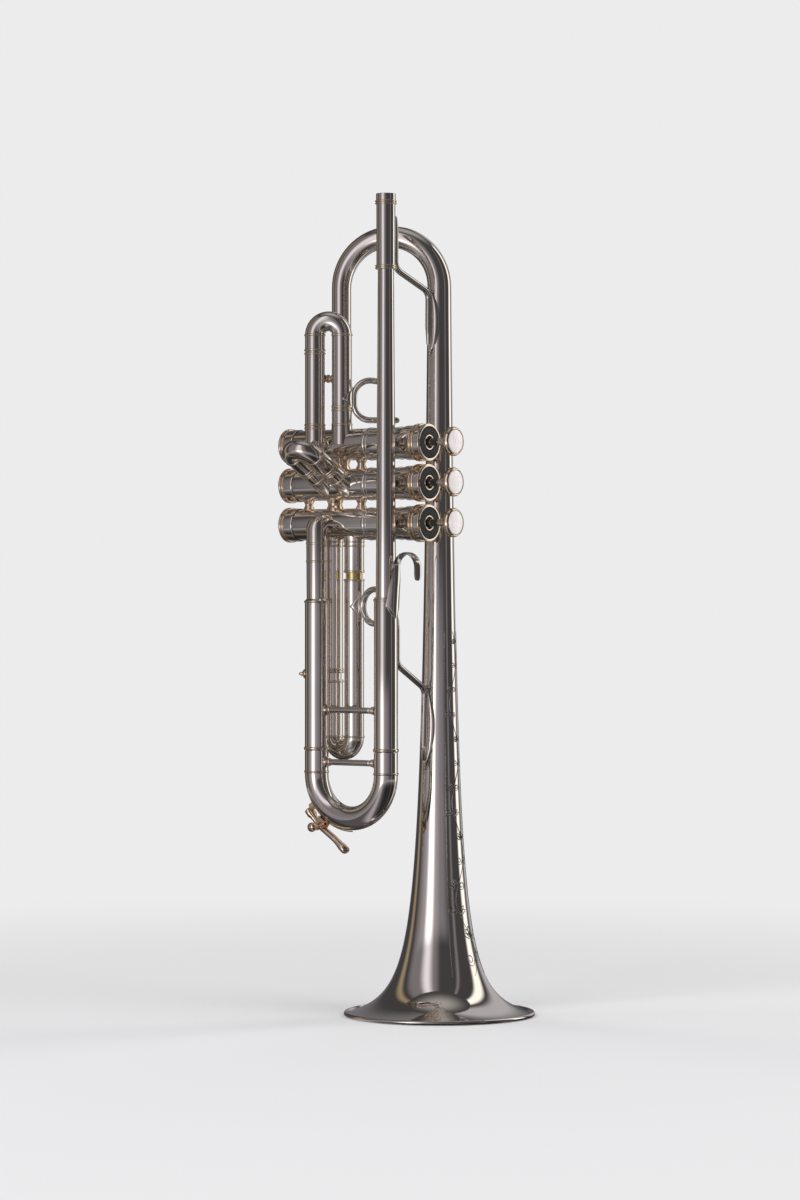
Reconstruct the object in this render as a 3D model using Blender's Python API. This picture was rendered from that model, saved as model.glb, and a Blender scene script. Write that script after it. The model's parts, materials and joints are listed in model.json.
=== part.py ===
"""Piston trumpet in B flat, standing on its bell with the player's end up.

+Z runs from the bell rim to the mouthpiece receiver, +X from the bottom caps to the finger buttons,
and +Y from the leadpipe to the bell. Places are laid out from the bell's axis, and the parent empty
then moves the whole part so that the origin lies under the middle of its box.
"""
import math

import bmesh
import bpy
from mathutils import Matrix, Quaternion, Vector

MM = 0.001

# Clearances
SOLDER_GAP = 0.3 * MM
SLIDE_CLEARANCE = 0.1 * MM
PISTON_CLEARANCE = 0.1 * MM
PIN_CLEARANCE = 0.1 * MM
STEM_CLEARANCE = 0.4 * MM
SCREW_ON_CLEARANCE = 0.3 * MM

# Walls
TUBE_WALL = 0.8 * MM
BELL_WALL = 0.6 * MM
CASING_WALL = 1.2 * MM

# Bell: a flare whose radius falls with the root of the height
BELL_RADIUS = 58.75 * MM
FLARE_HEIGHT = 7.1 * MM
BEAD_RADIUS = 1.4 * MM
SHEET_LIFT = 1.2 * MM
BELL_SEAM_Z = 120.0 * MM
STEM_TOP = 448.0 * MM

# Bell bow and its tail into the first valve
TAIL_X = -57.7 * MM
TAIL_SIDE = 5.2 * MM
TAIL_RADIUS = 6.0 * MM

# Valves, numbered from the player's end
VALVE_COUNT = 3
VALVE_Y = -29.5 * MM
VALVE_SPACING = 24.5 * MM
MIDDLE_VALVE_Z = 326.5 * MM
CAP_GAP = 1.5 * MM
CAP_WALL = 1.5 * MM
CASING_BOTTOM = -94.0 * MM
CASING_TOP = 8.0 * MM
PORT_RADIUS = 4.2 * MM
STROKE = 15.5 * MM

# Caps, buttons and pistons, along X
CAP_FACE = 15.0 * MM
CAP_HEIGHT = 16.0 * MM
CAP_PLATE = 2.2 * MM
CAP_GROOVE = 0.7 * MM
FELT_DEPTH = 1.2 * MM
CAP_LIP = 1.1 * MM
BOTTOM_CAP_WALL = 0.9 * MM
BOTTOM_CAP_HEIGHT = 11.0 * MM
BOTTOM_CAP_PLATE = 2.2 * MM
STEM_RADIUS = 2.3 * MM
BUTTON_RADIUS = 8.85 * MM
BUTTON_HEIGHT = 4.2 * MM
BUTTON_REST_GAP = 0.3 * MM
PEARL_RADIUS = 7.0 * MM
PEARL_DEPTH = 1.5 * MM
PEARL_CROWN = 0.6 * MM
PISTON_LENGTH = 56.0 * MM
PISTON_SHOULDER_WIDTH = 1.5 * MM
PISTON_NECK_LENGTH = 21.0 * MM
SPRING_CLEARANCE = 1.5 * MM
SPRING_WIRE = 0.55 * MM
SPRING_TURNS = 5

# Leadpipe and receiver
LEADPIPE_X = -5.0 * MM
LEADPIPE_GAP = 1.1 * MM
RECEIVER_LENGTH = 46.0 * MM
RECEIVER_LIFT = 7.5 * MM
RECEIVER_WALL = 0.8 * MM
RECEIVER_RING = 0.8 * MM
RECEIVER_RING_HEIGHT = 2.4 * MM
RECEIVER_RING_DROP = 6.0 * MM
RECEIVER_MOUTH = 4.9 * MM
RECEIVER_THROAT = 4.4 * MM
LEADPIPE_SEAT = 12.0 * MM
LEADPIPE_TOP_RADIUS = 4.9 * MM
LEADPIPE_WALL = 0.6 * MM

# Main tuning slide
MAIN_LOWER_X = -59.0 * MM
MAIN_INNER_RADIUS = 6.4 * MM
MAIN_SLEEVE_DROP = 45.0 * MM
MAIN_SLEEVE_LENGTH = 94.0 * MM
MAIN_LOWER_SLEEVE_LENGTH = 93.0 * MM
MAIN_FERRULE_LENGTH = 14.0 * MM
MAIN_INSERTION = 75.0 * MM
MAIN_BRACE_LIFT = 25.0 * MM
MAIN_MOVING_BRACE_LIFT = 7.0 * MM
KNUCKLE_RING_LIFT = 23.0 * MM
KNUCKLE_RADIUS = 6.2 * MM
KNUCKLE_BEND = 10.0 * MM
BEAD_HEIGHT = 2.4 * MM
BEAD_PROUD = 0.6 * MM

# Side slides
SIDE_INNER_RADIUS = 5.2 * MM
FIRST_FROM_TAIL = 9.0 * MM
FIRST_UPPER_SIDE = -5.5 * MM
FIRST_STEP_X = -15.0 * MM
FIRST_STEP_Y = -8.0 * MM
FIRST_UPPER_SLEEVE_RISE = 22.0 * MM
FIRST_LOWER_SLEEVE_RISE = 57.0 * MM
FIRST_FERRULE_LENGTH = 10.5 * MM
FIRST_STEM_REACH = 38.0 * MM
FIRST_INSERTION = 32.0 * MM
FIRST_BRACE_RISE = 41.0 * MM
SECOND_UPPER_X = -45.0 * MM
SECOND_SPACING = 16.0 * MM
SECOND_TILT = math.radians(29.0)
SECOND_DROP = 4.0 * MM
SECOND_SLEEVE_END = 28.0 * MM
SECOND_FERRULE_LENGTH = 14.0 * MM
SECOND_INSERTION = 15.0 * MM
THIRD_UPPER_X = -43.5 * MM
THIRD_SPACING = 16.6 * MM
THIRD_PULLED = 3.7 * MM
THIRD_UPPER_SLEEVE_DROP = 30.0 * MM
THIRD_LOWER_SLEEVE_DROP = 92.0 * MM
THIRD_FERRULE_LENGTH = 39.0 * MM
THIRD_STEM_REACH = 76.0 * MM
THIRD_INSERTION = 45.0 * MM

# Tubes between the casings
CROSSOVER_RADIUS = 5.0 * MM
CROSSOVER_X = (-52.9 * MM, -58.5 * MM)
SPACER_RADIUS = 3.4 * MM
SEAT_OFFSET = 3.4 * MM
SPACER_X = (-37.7 * MM, -79.3 * MM)

# Wire furniture: braces, hook, saddle and ring
BRACE_WIRE = 2.0 * MM
UPPER_BRACE_STEPS = (32.0 * MM, 12.5 * MM, 33.0 * MM)
LOWER_BRACE_STEPS = (29.0 * MM, 15.0 * MM, 44.0 * MM)
BRACE_FOOT_LIFT = 1.0 * MM
LOWER_BRACE_DROP = 12.0 * MM
BRACE_BEND = 6.0 * MM
SLEEVE_BRACE_RADIUS = 1.7 * MM
BRACE_FOOT_RADIUS = 3.4 * MM
BALL_RADIUS = 2.7 * MM
HOOK_WIRE = 1.9 * MM
HOOK_FOOT_DROP = 10.0 * MM
HOOK_RISE = 26.0 * MM
HOOK_TIP_DROP = 17.0 * MM
HOOK_SPAN = 17.0 * MM
HOOK_TURN = math.radians(-5.0)
GRIP_TURN = math.radians(40.0)
RING_TURN = math.radians(-10.0)
SADDLE_RISE = 19.0 * MM
SADDLE_HEIGHT = 26.0 * MM
SADDLE_REACH = 27.0 * MM
SADDLE_BEND = 10.0 * MM
FINGER_RING_RADIUS = 12.4 * MM
FINGER_RING_DROP = 17.0 * MM
STUD_LIFT = 47.0 * MM
STUD_RADIUS = 3.0 * MM
STUD_HEIGHT = 4.0 * MM

# Water key, in polar terms round the middle of the main bow
KEY_CORK_ANGLE = math.radians(34.0)
KEY_PIVOT_ANGLE = math.radians(54.0)
KEY_TIP_ANGLE = math.radians(86.0)
KEY_STANDOFF = 6.3 * MM
KEY_TIP_STANDOFF = 13.3 * MM
KEY_ARM = 1.3 * MM
KEY_BOSS = 2.2 * MM
KEY_PAD = 2.4 * MM
KEY_PAD_LENGTH = 5.0 * MM
KEY_EAR = 1.6 * MM
KEY_BASE = 1.2 * MM
KEY_PIN_RADIUS = 0.9 * MM
KEY_PIN_PROUD = 5.0 * MM
KEY_BALL_RADIUS = 2.0 * MM
CORK_RADIUS = 2.3 * MM

# Facets
TUBE_SIDES = 12
WIRE_SIDES = 8
CASING_SIDES = 20
BELL_SIDES = 32
FLARE_STEPS = 8
STEM_STEPS = 6
BEND_STEP = math.radians(22.5)
SPRING_POINTS = 7
SPRING_SIDES = 4
SHARP_ANGLE = math.radians(35.0)
TINY = 1e-7

X_AXIS = Vector((1.0, 0.0, 0.0))
Y_AXIS = Vector((0.0, 1.0, 0.0))
Z_AXIS = Vector((0.0, 0.0, 1.0))

# Sizes that follow from the ones above
CAP_RADIUS = (VALVE_SPACING - CAP_GAP) / 2
CAP_BORE = CAP_RADIUS - CAP_WALL
CASING_RADIUS = CAP_BORE - SCREW_ON_CLEARANCE
CASING_BORE = CASING_RADIUS - CASING_WALL
BOTTOM_CAP_RADIUS = CAP_BORE + BOTTOM_CAP_WALL
PISTON_RADIUS = CASING_BORE - PISTON_CLEARANCE
PISTON_NECK_RADIUS = PISTON_RADIUS - PISTON_SHOULDER_WIDTH
SPRING_RADIUS = CASING_BORE - SPRING_WIRE - SPRING_CLEARANCE
VALVE_Z = [MIDDLE_VALVE_Z + VALVE_SPACING * (1 - number) for number in range(VALVE_COUNT)]
TAIL_Y = VALVE_Y + TAIL_SIDE
LEADPIPE_Y = VALVE_Y - CAP_RADIUS - LEADPIPE_GAP - LEADPIPE_TOP_RADIUS
RECEIVER_BOTTOM = STEM_TOP + RECEIVER_LIFT
RECEIVER_TOP = RECEIVER_BOTTOM + RECEIVER_LENGTH
RECEIVER_RADIUS = LEADPIPE_TOP_RADIUS + SOLDER_GAP + RECEIVER_WALL
MAIN_SLEEVE_TOP = VALVE_Z[2] - MAIN_SLEEVE_DROP
MAIN_SLEEVE_END = MAIN_SLEEVE_TOP - MAIN_SLEEVE_LENGTH
MAIN_JOINT_Z = MAIN_SLEEVE_END - MAIN_FERRULE_LENGTH
MAIN_INNER_TOP = MAIN_SLEEVE_END + MAIN_INSERTION
MAIN_BRACE_Z = MAIN_SLEEVE_END + MAIN_BRACE_LIFT
MAIN_MOVING_BRACE_Z = MAIN_JOINT_Z + MAIN_MOVING_BRACE_LIFT
MAIN_SLEEVE_BORE = MAIN_INNER_RADIUS + SLIDE_CLEARANCE
MAIN_SLEEVE_RADIUS = MAIN_SLEEVE_BORE + TUBE_WALL
SIDE_SLEEVE_BORE = SIDE_INNER_RADIUS + SLIDE_CLEARANCE
SIDE_SLEEVE_RADIUS = SIDE_SLEEVE_BORE + TUBE_WALL
SIDE_BORE = SIDE_INNER_RADIUS - TUBE_WALL
MAIN_BORE = MAIN_INNER_RADIUS - TUBE_WALL
MAIN_HALF_WIDTH = (LEADPIPE_X - MAIN_LOWER_X) / 2
MAIN_MIDDLE_X = (LEADPIPE_X + MAIN_LOWER_X) / 2
GRIP_WAY = Vector((math.cos(GRIP_TURN), math.sin(GRIP_TURN), 0.0))
RING_WAY = Vector((math.cos(RING_TURN), math.sin(RING_TURN), 0.0))
FIRST_UPPER_X = TAIL_X + FIRST_FROM_TAIL
FIRST_UPPER_SLEEVE_TOP = VALVE_Z[0] + FIRST_UPPER_SLEEVE_RISE
FIRST_LOWER_SLEEVE_TOP = VALVE_Z[0] + FIRST_LOWER_SLEEVE_RISE
FIRST_JOINT_Z = FIRST_LOWER_SLEEVE_TOP + FIRST_FERRULE_LENGTH
FIRST_STEM_TOP = FIRST_UPPER_SLEEVE_TOP + FIRST_STEM_REACH
FIRST_INNER_END = FIRST_LOWER_SLEEVE_TOP - FIRST_INSERTION
FIRST_BRACE_Z = VALVE_Z[0] + FIRST_BRACE_RISE
FIRST_UPPER = Vector((FIRST_UPPER_X, VALVE_Y + FIRST_UPPER_SIDE, 0.0))
FIRST_LOWER = FIRST_UPPER + Vector((FIRST_STEP_X, FIRST_STEP_Y, 0.0))
FIRST_SPACING = math.hypot(FIRST_STEP_X, FIRST_STEP_Y)
FIRST_SIDE = Vector((-FIRST_STEP_Y, FIRST_STEP_X, 0.0)).normalized()
THIRD_LOWER_X = THIRD_UPPER_X - THIRD_SPACING
THIRD_UPPER_SLEEVE_END = VALVE_Z[2] - THIRD_UPPER_SLEEVE_DROP
THIRD_LOWER_SLEEVE_END = VALVE_Z[2] - THIRD_LOWER_SLEEVE_DROP
THIRD_JOINT_Z = THIRD_LOWER_SLEEVE_END - THIRD_FERRULE_LENGTH
THIRD_STEM_END = THIRD_UPPER_SLEEVE_END - THIRD_STEM_REACH
THIRD_INNER_TOP = THIRD_LOWER_SLEEVE_END + THIRD_INSERTION
THIRD_COVER_TOP = THIRD_UPPER_SLEEVE_END - THIRD_PULLED
SECOND_JOINT = SECOND_SLEEVE_END + SECOND_FERRULE_LENGTH
SECOND_INNER_END = SECOND_SLEEVE_END - SECOND_INSERTION
SECOND_WAY = Vector((0.0, -math.cos(SECOND_TILT), math.sin(SECOND_TILT)))
SECOND_SIDE = Vector((0.0, math.sin(SECOND_TILT), math.cos(SECOND_TILT)))
FELT_FACE = CAP_FACE - FELT_DEPTH
CAP_UNDERSIDE = FELT_FACE - CAP_PLATE
PISTON_TOP = CAP_UNDERSIDE - SOLDER_GAP
PISTON_SHOULDER = PISTON_TOP - PISTON_NECK_LENGTH
PISTON_BOTTOM = PISTON_SHOULDER - PISTON_LENGTH
BOTTOM_CAP_FACE = CASING_BOTTOM - SOLDER_GAP - BOTTOM_CAP_PLATE
BOTTOM_CAP_FLOOR = BOTTOM_CAP_FACE + BOTTOM_CAP_PLATE
BUTTON_UNDERSIDE = CAP_FACE + STROKE + BUTTON_REST_GAP
BUTTON_FACE = BUTTON_UNDERSIDE + BUTTON_HEIGHT
MAIN_BOW_MIDDLE = Vector((MAIN_MIDDLE_X, LEADPIPE_Y, MAIN_JOINT_Z))
MAIN_BOW_OUTSIDE = MAIN_HALF_WIDTH + MAIN_SLEEVE_RADIUS

BOX_LOW_X = BOTTOM_CAP_FACE
BOX_LOW_Y = VALVE_Y + SECOND_WAY.y * (SECOND_JOINT + SECOND_SPACING / 2) - SIDE_SLEEVE_RADIUS
BOX_MIDDLE = Vector(((BELL_RADIUS + BOX_LOW_X) / 2, (BELL_RADIUS + BOX_LOW_Y) / 2, 0.0))


def clear_scene():
    for obj in list(bpy.data.objects):
        bpy.data.objects.remove(obj, do_unlink=True)


def finish(name, colour, metallic, roughness):
    material = bpy.data.materials.new(name)
    material.use_nodes = True
    shader = material.node_tree.nodes["Principled BSDF"]
    shader.inputs["Base Color"].default_value = (*colour, 1.0)
    shader.inputs["Metallic"].default_value = metallic
    shader.inputs["Roughness"].default_value = roughness
    return material


def add_body(name, place, parent=None):
    """An empty on a joint's axis, whose pieces move together."""
    empty = bpy.data.objects.new(name, None)
    bpy.context.scene.collection.objects.link(empty)
    empty.parent = parent
    empty["place"] = list(place)
    empty.location = place if parent is None else Vector(place) - Vector(parent["place"])
    return empty


def add_piece(name, bm, body, material):
    """Turns a bmesh in layout places into a named object that hangs on a body's empty."""
    bmesh.ops.recalc_face_normals(bm, faces=bm.faces[:])
    mesh = bpy.data.meshes.new(name)
    bm.to_mesh(mesh)
    bm.free()
    mesh.transform(Matrix.Translation(-Vector(body["place"])))
    mesh.shade_smooth()
    mesh.set_sharp_from_angle(angle=SHARP_ANGLE)
    mesh.materials.append(material)
    piece = bpy.data.objects.new(name, mesh)
    bpy.context.scene.collection.objects.link(piece)
    piece.parent = body
    return piece


def combine(piece, tool, operation):
    """Cuts or joins a piece with a hidden tool solid."""
    tool.hide_render = True
    tool.display_type = "WIRE"
    boolean = piece.modifiers.new(tool.name, "BOOLEAN")
    boolean.operation = operation
    boolean.solver = "EXACT"
    boolean.object = tool


class Route:
    """A centre line of straight runs joined by round bends."""

    def __init__(self, points, bend=0.0):
        self.runs = []
        self.stops = [0.0]
        self.length = 0.0
        here = Vector(points[0])
        for corner, after in zip(points[1:-1], points[2:]):
            corner = Vector(corner)
            way_in = (corner - here).normalized()
            way_out = (Vector(after) - corner).normalized()
            angle = way_in.angle(way_out)
            setback = bend * math.tan(angle / 2)
            self.add_run(here, way_in, (corner - here).length - setback)
            start = corner - way_in * setback
            self.add_run(start, way_in, bend * angle, way_in.cross(way_out).normalized(), bend)
            here = corner + way_out * setback
        last = Vector(points[-1])
        self.add_run(here, (last - here).normalized(), (last - here).length)

    def add_run(self, start, way, length, axis=None, bend=0.0):
        if length < TINY:
            return
        self.runs.append((self.length, start, way, axis, bend))
        steps = max(1, round(length / bend / BEND_STEP)) if axis else 1
        self.stops += [self.length + length * step / steps for step in range(1, steps + 1)]
        self.length += length

    def at(self, distance):
        """The point and the direction at a distance along the line."""
        begin, start, way, axis, bend = [run for run in self.runs if run[0] <= distance + TINY][-1]
        if axis is None:
            return start + way * (distance - begin), way
        turn = Quaternion(axis, (distance - begin) / bend)
        inward = axis.cross(way) * bend
        return start + inward - turn @ inward, turn @ way


def marks_along(route, profile):
    """The profile's own (distance, radius) marks, with the bends' stops between them."""
    marks = list(profile)
    for (near, near_radius), (far, far_radius) in zip(profile, profile[1:]):
        for stop in route.stops:
            if near + TINY < stop < far - TINY:
                share = (stop - near) / (far - near)
                marks.append((stop, near_radius + share * (far_radius - near_radius)))
    return sorted(marks, key=lambda mark: mark[0])


def ring_of_points(bm, middle, way, side, radius, sides):
    across = way.cross(side)
    turns = [2 * math.pi * number / sides for number in range(sides)]
    return [bm.verts.new(middle + (side * math.cos(turn) + across * math.sin(turn)) * radius)
            for turn in turns]


def skin(bm, route, profile, side, sides):
    """Rings of points along a route, joined by faces. Gives back the first and the last ring."""
    rings = []
    way_before = None
    for distance, radius in marks_along(route, profile):
        middle, way = route.at(distance)
        if way_before is None:
            side = (side - way * side.dot(way)).normalized()
        else:
            side = way_before.rotation_difference(way) @ side
        rings.append(ring_of_points(bm, middle, way, side, radius, sides))
        way_before = way
    for near, far in zip(rings, rings[1:]):
        join_rings(bm, near, far)
    return rings[0], rings[-1]


def join_rings(bm, near, far):
    count = len(near)
    for number in range(count):
        after = (number + 1) % count
        bm.faces.new((near[number], near[after], far[after], far[number]))


def tube(name, body, material, route, outer, inner, side=X_AXIS, sides=TUBE_SIDES):
    """A hollow tube: outer and inner list (distance, radius) from the same end of the route."""
    bm = bmesh.new()
    outer_ends = skin(bm, route, outer, side, sides)
    inner_ends = skin(bm, route, inner, side, sides)
    for outside, inside in zip(outer_ends, inner_ends):
        join_rings(bm, outside, inside)
    return add_piece(name, bm, body, material)


def rod(name, body, material, route, profile, side=X_AXIS, sides=WIRE_SIDES):
    """A solid wire or rod along a route."""
    bm = bmesh.new()
    for end in skin(bm, route, profile, side, sides):
        bm.faces.new(end)
    return add_piece(name, bm, body, material)


def turned(name, body, material, middle, axis, profile, sides=CASING_SIDES):
    """A turned piece: profile lists (height along the axis, radius), closed unless it meets the axis."""
    bm = bmesh.new()
    side = Y_AXIS if abs(axis.dot(Y_AXIS)) < 0.5 else X_AXIS
    side = (side - axis * side.dot(axis)).normalized()
    rings = []
    for height, radius in profile:
        point = middle + axis * height
        if radius > TINY:
            rings.append(ring_of_points(bm, point, axis, side, radius, sides))
        else:
            rings.append([bm.verts.new(point)])
    closed = len(rings[0]) > 1 and len(rings[-1]) > 1
    pairs = list(zip(rings, rings[1:])) + ([(rings[-1], rings[0])] if closed else [])
    for near, far in pairs:
        if len(near) > 1 and len(far) > 1:
            join_rings(bm, near, far)
        else:
            tip, rim = (near[0], far) if len(near) == 1 else (far[0], near)
            for number, point in enumerate(rim):
                bm.faces.new((tip, point, rim[(number + 1) % sides]))
    return add_piece(name, bm, body, material)


def block(name, body, material, middle, axes, size):
    """A box with its edges along three axes."""
    bm = bmesh.new()
    bmesh.ops.create_cube(bm, size=1.0)
    turn = Matrix((axes[0], axes[1], axes[2])).transposed().to_4x4()
    place = Matrix.Translation(middle) @ turn @ Matrix.Diagonal((*size, 1.0))
    bmesh.ops.transform(bm, matrix=place, verts=bm.verts)
    return add_piece(name, bm, body, material)


def upright(x, y, low, high):
    return Route(((x, y, low), (x, y, high)))


def with_beads(profile, beads, radius):
    """Adds soldered ring beads, each from its own distance, to a straight stretch of one radius."""
    marks = list(profile)
    for start in beads:
        end = start + BEAD_HEIGHT
        proud = radius + BEAD_PROUD
        marks += [(start, radius), (start, proud), (end, proud), (end, radius)]
    return sorted(marks, key=lambda mark: mark[0])


clear_scene()
SILVER = finish("silver_plate", (0.80, 0.79, 0.77), 1.0, 0.12)
GOLD = finish("gold_trim", (0.86, 0.66, 0.44), 1.0, 0.16)
BRASS = finish("bare_brass", (0.80, 0.62, 0.30), 1.0, 0.25)
STEEL = finish("spring_steel", (0.55, 0.55, 0.56), 1.0, 0.30)
PEARL = finish("mother_of_pearl", (0.86, 0.85, 0.80), 0.0, 0.20)
FELT = finish("black_felt", (0.02, 0.02, 0.022), 0.0, 0.95)
CORK = finish("cork", (0.52, 0.36, 0.22), 0.0, 0.90)

# The empties of the body and of each joint
trumpet = add_body("trumpet", (0.0, 0.0, 0.0))
valve_bodies = [add_body(f"valve_{number + 1}", (PISTON_TOP, VALVE_Y, VALVE_Z[number]), trumpet)
                for number in range(VALVE_COUNT)]
main_slide = add_body("main_slide", MAIN_BOW_MIDDLE, trumpet)
first_slide = add_body("first_slide", FIRST_UPPER + Z_AXIS * FIRST_JOINT_Z, trumpet)
second_middle = Vector((SECOND_UPPER_X - SECOND_SPACING / 2, VALVE_Y, VALVE_Z[1] - SECOND_DROP))
second_slide = add_body("second_slide", second_middle + SECOND_WAY * SECOND_JOINT, trumpet)
third_slide = add_body("third_slide", (THIRD_UPPER_X, VALVE_Y, THIRD_JOINT_Z), trumpet)


def key_point(angle, standoff):
    """A point outside the main bow, at an angle below its left end."""
    reach = MAIN_BOW_OUTSIDE + standoff
    return MAIN_BOW_MIDDLE - Vector((math.cos(angle), 0.0, math.sin(angle))) * reach


KEY_PIVOT = key_point(KEY_PIVOT_ANGLE, KEY_STANDOFF)
water_key = add_body("water_key", KEY_PIVOT, main_slide)


def casing_tool(number):
    """The space of a casing, which the tubes that meet it are cut to."""
    middle = Vector((0.0, VALVE_Y, VALVE_Z[number]))
    reach = CASING_RADIUS + SOLDER_GAP
    return turned(f"casing_space_{number + 1}", trumpet, SILVER, middle, X_AXIS,
                  ((CASING_BOTTOM, 0.0), (CASING_BOTTOM, reach), (CASING_TOP, reach), (CASING_TOP, 0.0)))


casing_spaces = [casing_tool(number) for number in range(VALVE_COUNT)]


def flare_height(radius):
    """The height of the bell's outer skin where it has a radius."""
    return FLARE_HEIGHT * ((BELL_RADIUS / radius) ** 2 - 1) + SHEET_LIFT


def bell_radius(height):
    """The radius of the bell's outer skin at a height."""
    return BELL_RADIUS * math.sqrt(FLARE_HEIGHT / (height - SHEET_LIFT + FLARE_HEIGHT))


BELL_STEM_RADIUS = bell_radius(STEM_TOP)


def bell_lining(outside):
    """The inner skin, one wall inside the outer one, with its last point level with the outer end."""
    inside = []
    for height, radius in outside:
        slope = 2 * FLARE_HEIGHT * BELL_RADIUS ** 2 / radius ** 3
        length = math.hypot(slope, 1.0)
        inside.append((height - BELL_WALL / length, radius - BELL_WALL * slope / length))
    inside[-1] = (outside[-1][0], outside[-1][1] - BELL_WALL)
    return inside


def make_bell():
    """The flare with its rolled rim, and the stem that is brazed to it at a seam."""
    bead_corner = BEAD_RADIUS / math.cos(math.pi / 8)
    bead_middle = BELL_RADIUS - BEAD_RADIUS
    sheet_edge = bead_middle - BEAD_RADIUS
    shrink = bell_radius(BELL_SEAM_Z) / sheet_edge
    radii = [sheet_edge * shrink ** (step / FLARE_STEPS) for step in range(FLARE_STEPS + 1)]
    outside = [(flare_height(radius), radius) for radius in radii]
    bead = []
    for corner in (7, 6, 5, 4, 3):
        turn = math.pi / 8 + math.pi * corner / 4
        bead.append((BEAD_RADIUS + bead_corner * math.cos(turn), bead_middle - bead_corner * math.sin(turn)))
    skin_line = outside[::-1] + bead + bell_lining(outside)
    turned("bell_flare", trumpet, SILVER, Vector(), Z_AXIS, skin_line, BELL_SIDES)
    foot = BELL_SEAM_Z + SOLDER_GAP
    heights = [foot + (STEM_TOP - foot) * step / STEM_STEPS for step in range(STEM_STEPS + 1)]
    outside = [(height, bell_radius(height)) for height in heights]
    inside = [(height, radius - BELL_WALL) for height, radius in outside]
    turned("bell_stem", trumpet, SILVER, Vector(), Z_AXIS, outside[::-1] + inside, BELL_SIDES)


def make_bell_bow():
    top = STEM_TOP + SOLDER_GAP
    tail = Vector((TAIL_X, TAIL_Y, 0.0))
    half = tail.length / 2
    points = ((0.0, 0.0, top), (0.0, 0.0, top + half), (TAIL_X, TAIL_Y, top + half),
              (TAIL_X, TAIL_Y, VALVE_Z[0] + SEAT_OFFSET))
    route = Route(points, half)
    bend_end = math.pi * half
    outer = ((0.0, BELL_STEM_RADIUS), (bend_end, TAIL_RADIUS), (route.length, TAIL_RADIUS))
    inner = tuple((distance, radius - TUBE_WALL) for distance, radius in outer)
    bow = tube("bell_bow", trumpet, SILVER, route, outer, inner, tail.normalized().cross(Z_AXIS))
    combine(bow, casing_spaces[0], "DIFFERENCE")


def make_leadpipe():
    axis_foot = Vector((LEADPIPE_X, LEADPIPE_Y, 0.0))
    ring = RECEIVER_RADIUS + RECEIVER_RING
    seat_bore = LEADPIPE_TOP_RADIUS + SOLDER_GAP
    seat_top = RECEIVER_BOTTOM + LEADPIPE_SEAT
    upper_ring = RECEIVER_TOP - RECEIVER_RING_DROP
    turned("mouthpiece_receiver", trumpet, GOLD, axis_foot, Z_AXIS, (
        (RECEIVER_TOP, RECEIVER_MOUTH), (RECEIVER_TOP, RECEIVER_RADIUS),
        (upper_ring + RECEIVER_RING_HEIGHT, RECEIVER_RADIUS), (upper_ring + RECEIVER_RING_HEIGHT / 2, ring),
        (upper_ring, RECEIVER_RADIUS), (RECEIVER_BOTTOM + RECEIVER_RING_HEIGHT, RECEIVER_RADIUS),
        (RECEIVER_BOTTOM + RECEIVER_RING_HEIGHT / 2, ring), (RECEIVER_BOTTOM, RECEIVER_RADIUS),
        (RECEIVER_BOTTOM, seat_bore), (seat_top, seat_bore), (seat_top, RECEIVER_THROAT)), TUBE_SIDES)
    seated = seat_top - SOLDER_GAP
    foot = MAIN_SLEEVE_TOP - LEADPIPE_SEAT
    foot_radius = MAIN_SLEEVE_BORE - SOLDER_GAP
    route = upright(LEADPIPE_X, LEADPIPE_Y, foot, seated)
    outer = ((0.0, foot_radius), (LEADPIPE_SEAT, foot_radius),
             (RECEIVER_BOTTOM - foot, LEADPIPE_TOP_RADIUS), (route.length, LEADPIPE_TOP_RADIUS))
    inner = ((0.0, foot_radius - LEADPIPE_WALL), (route.length, LEADPIPE_TOP_RADIUS - LEADPIPE_WALL))
    tube("leadpipe", trumpet, SILVER, route, outer, inner)


def make_main_sleeves():
    length = MAIN_SLEEVE_TOP - MAIN_SLEEVE_END
    route = upright(LEADPIPE_X, LEADPIPE_Y, MAIN_SLEEVE_END, MAIN_SLEEVE_TOP)
    plain = ((0.0, MAIN_SLEEVE_RADIUS), (length, MAIN_SLEEVE_RADIUS))
    beads = (SOLDER_GAP, length - BEAD_HEIGHT - SOLDER_GAP)
    tube("upper_main_sleeve", trumpet, SILVER, route, with_beads(plain, beads, MAIN_SLEEVE_RADIUS),
         ((0.0, MAIN_SLEEVE_BORE), (length, MAIN_SLEEVE_BORE)))
    entry = VALVE_Z[2]
    elbow = Route(((MAIN_LOWER_X, LEADPIPE_Y, MAIN_SLEEVE_END), (MAIN_LOWER_X, LEADPIPE_Y, entry),
                   (MAIN_LOWER_X, VALVE_Y, entry)), KNUCKLE_BEND)
    sleeve_top = MAIN_LOWER_SLEEVE_LENGTH
    upper_bead = sleeve_top + KNUCKLE_RING_LIFT
    last_bead = entry - KNUCKLE_BEND - BEAD_HEIGHT - MAIN_SLEEVE_END
    step = sleeve_top - BEAD_HEIGHT
    outer = with_beads(((0.0, MAIN_SLEEVE_RADIUS),), (SOLDER_GAP, step), MAIN_SLEEVE_RADIUS)
    outer += with_beads(((sleeve_top, KNUCKLE_RADIUS),), (upper_bead, last_bead), KNUCKLE_RADIUS)
    outer.append((elbow.length, KNUCKLE_RADIUS))
    knuckle_bore = KNUCKLE_RADIUS - TUBE_WALL
    bore = ((0.0, MAIN_SLEEVE_BORE), (step, MAIN_SLEEVE_BORE), (step, knuckle_bore),
            (elbow.length, knuckle_bore))
    lower = tube("lower_main_sleeve", trumpet, SILVER, elbow, outer, bore)
    combine(lower, casing_spaces[2], "DIFFERENCE")


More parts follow.
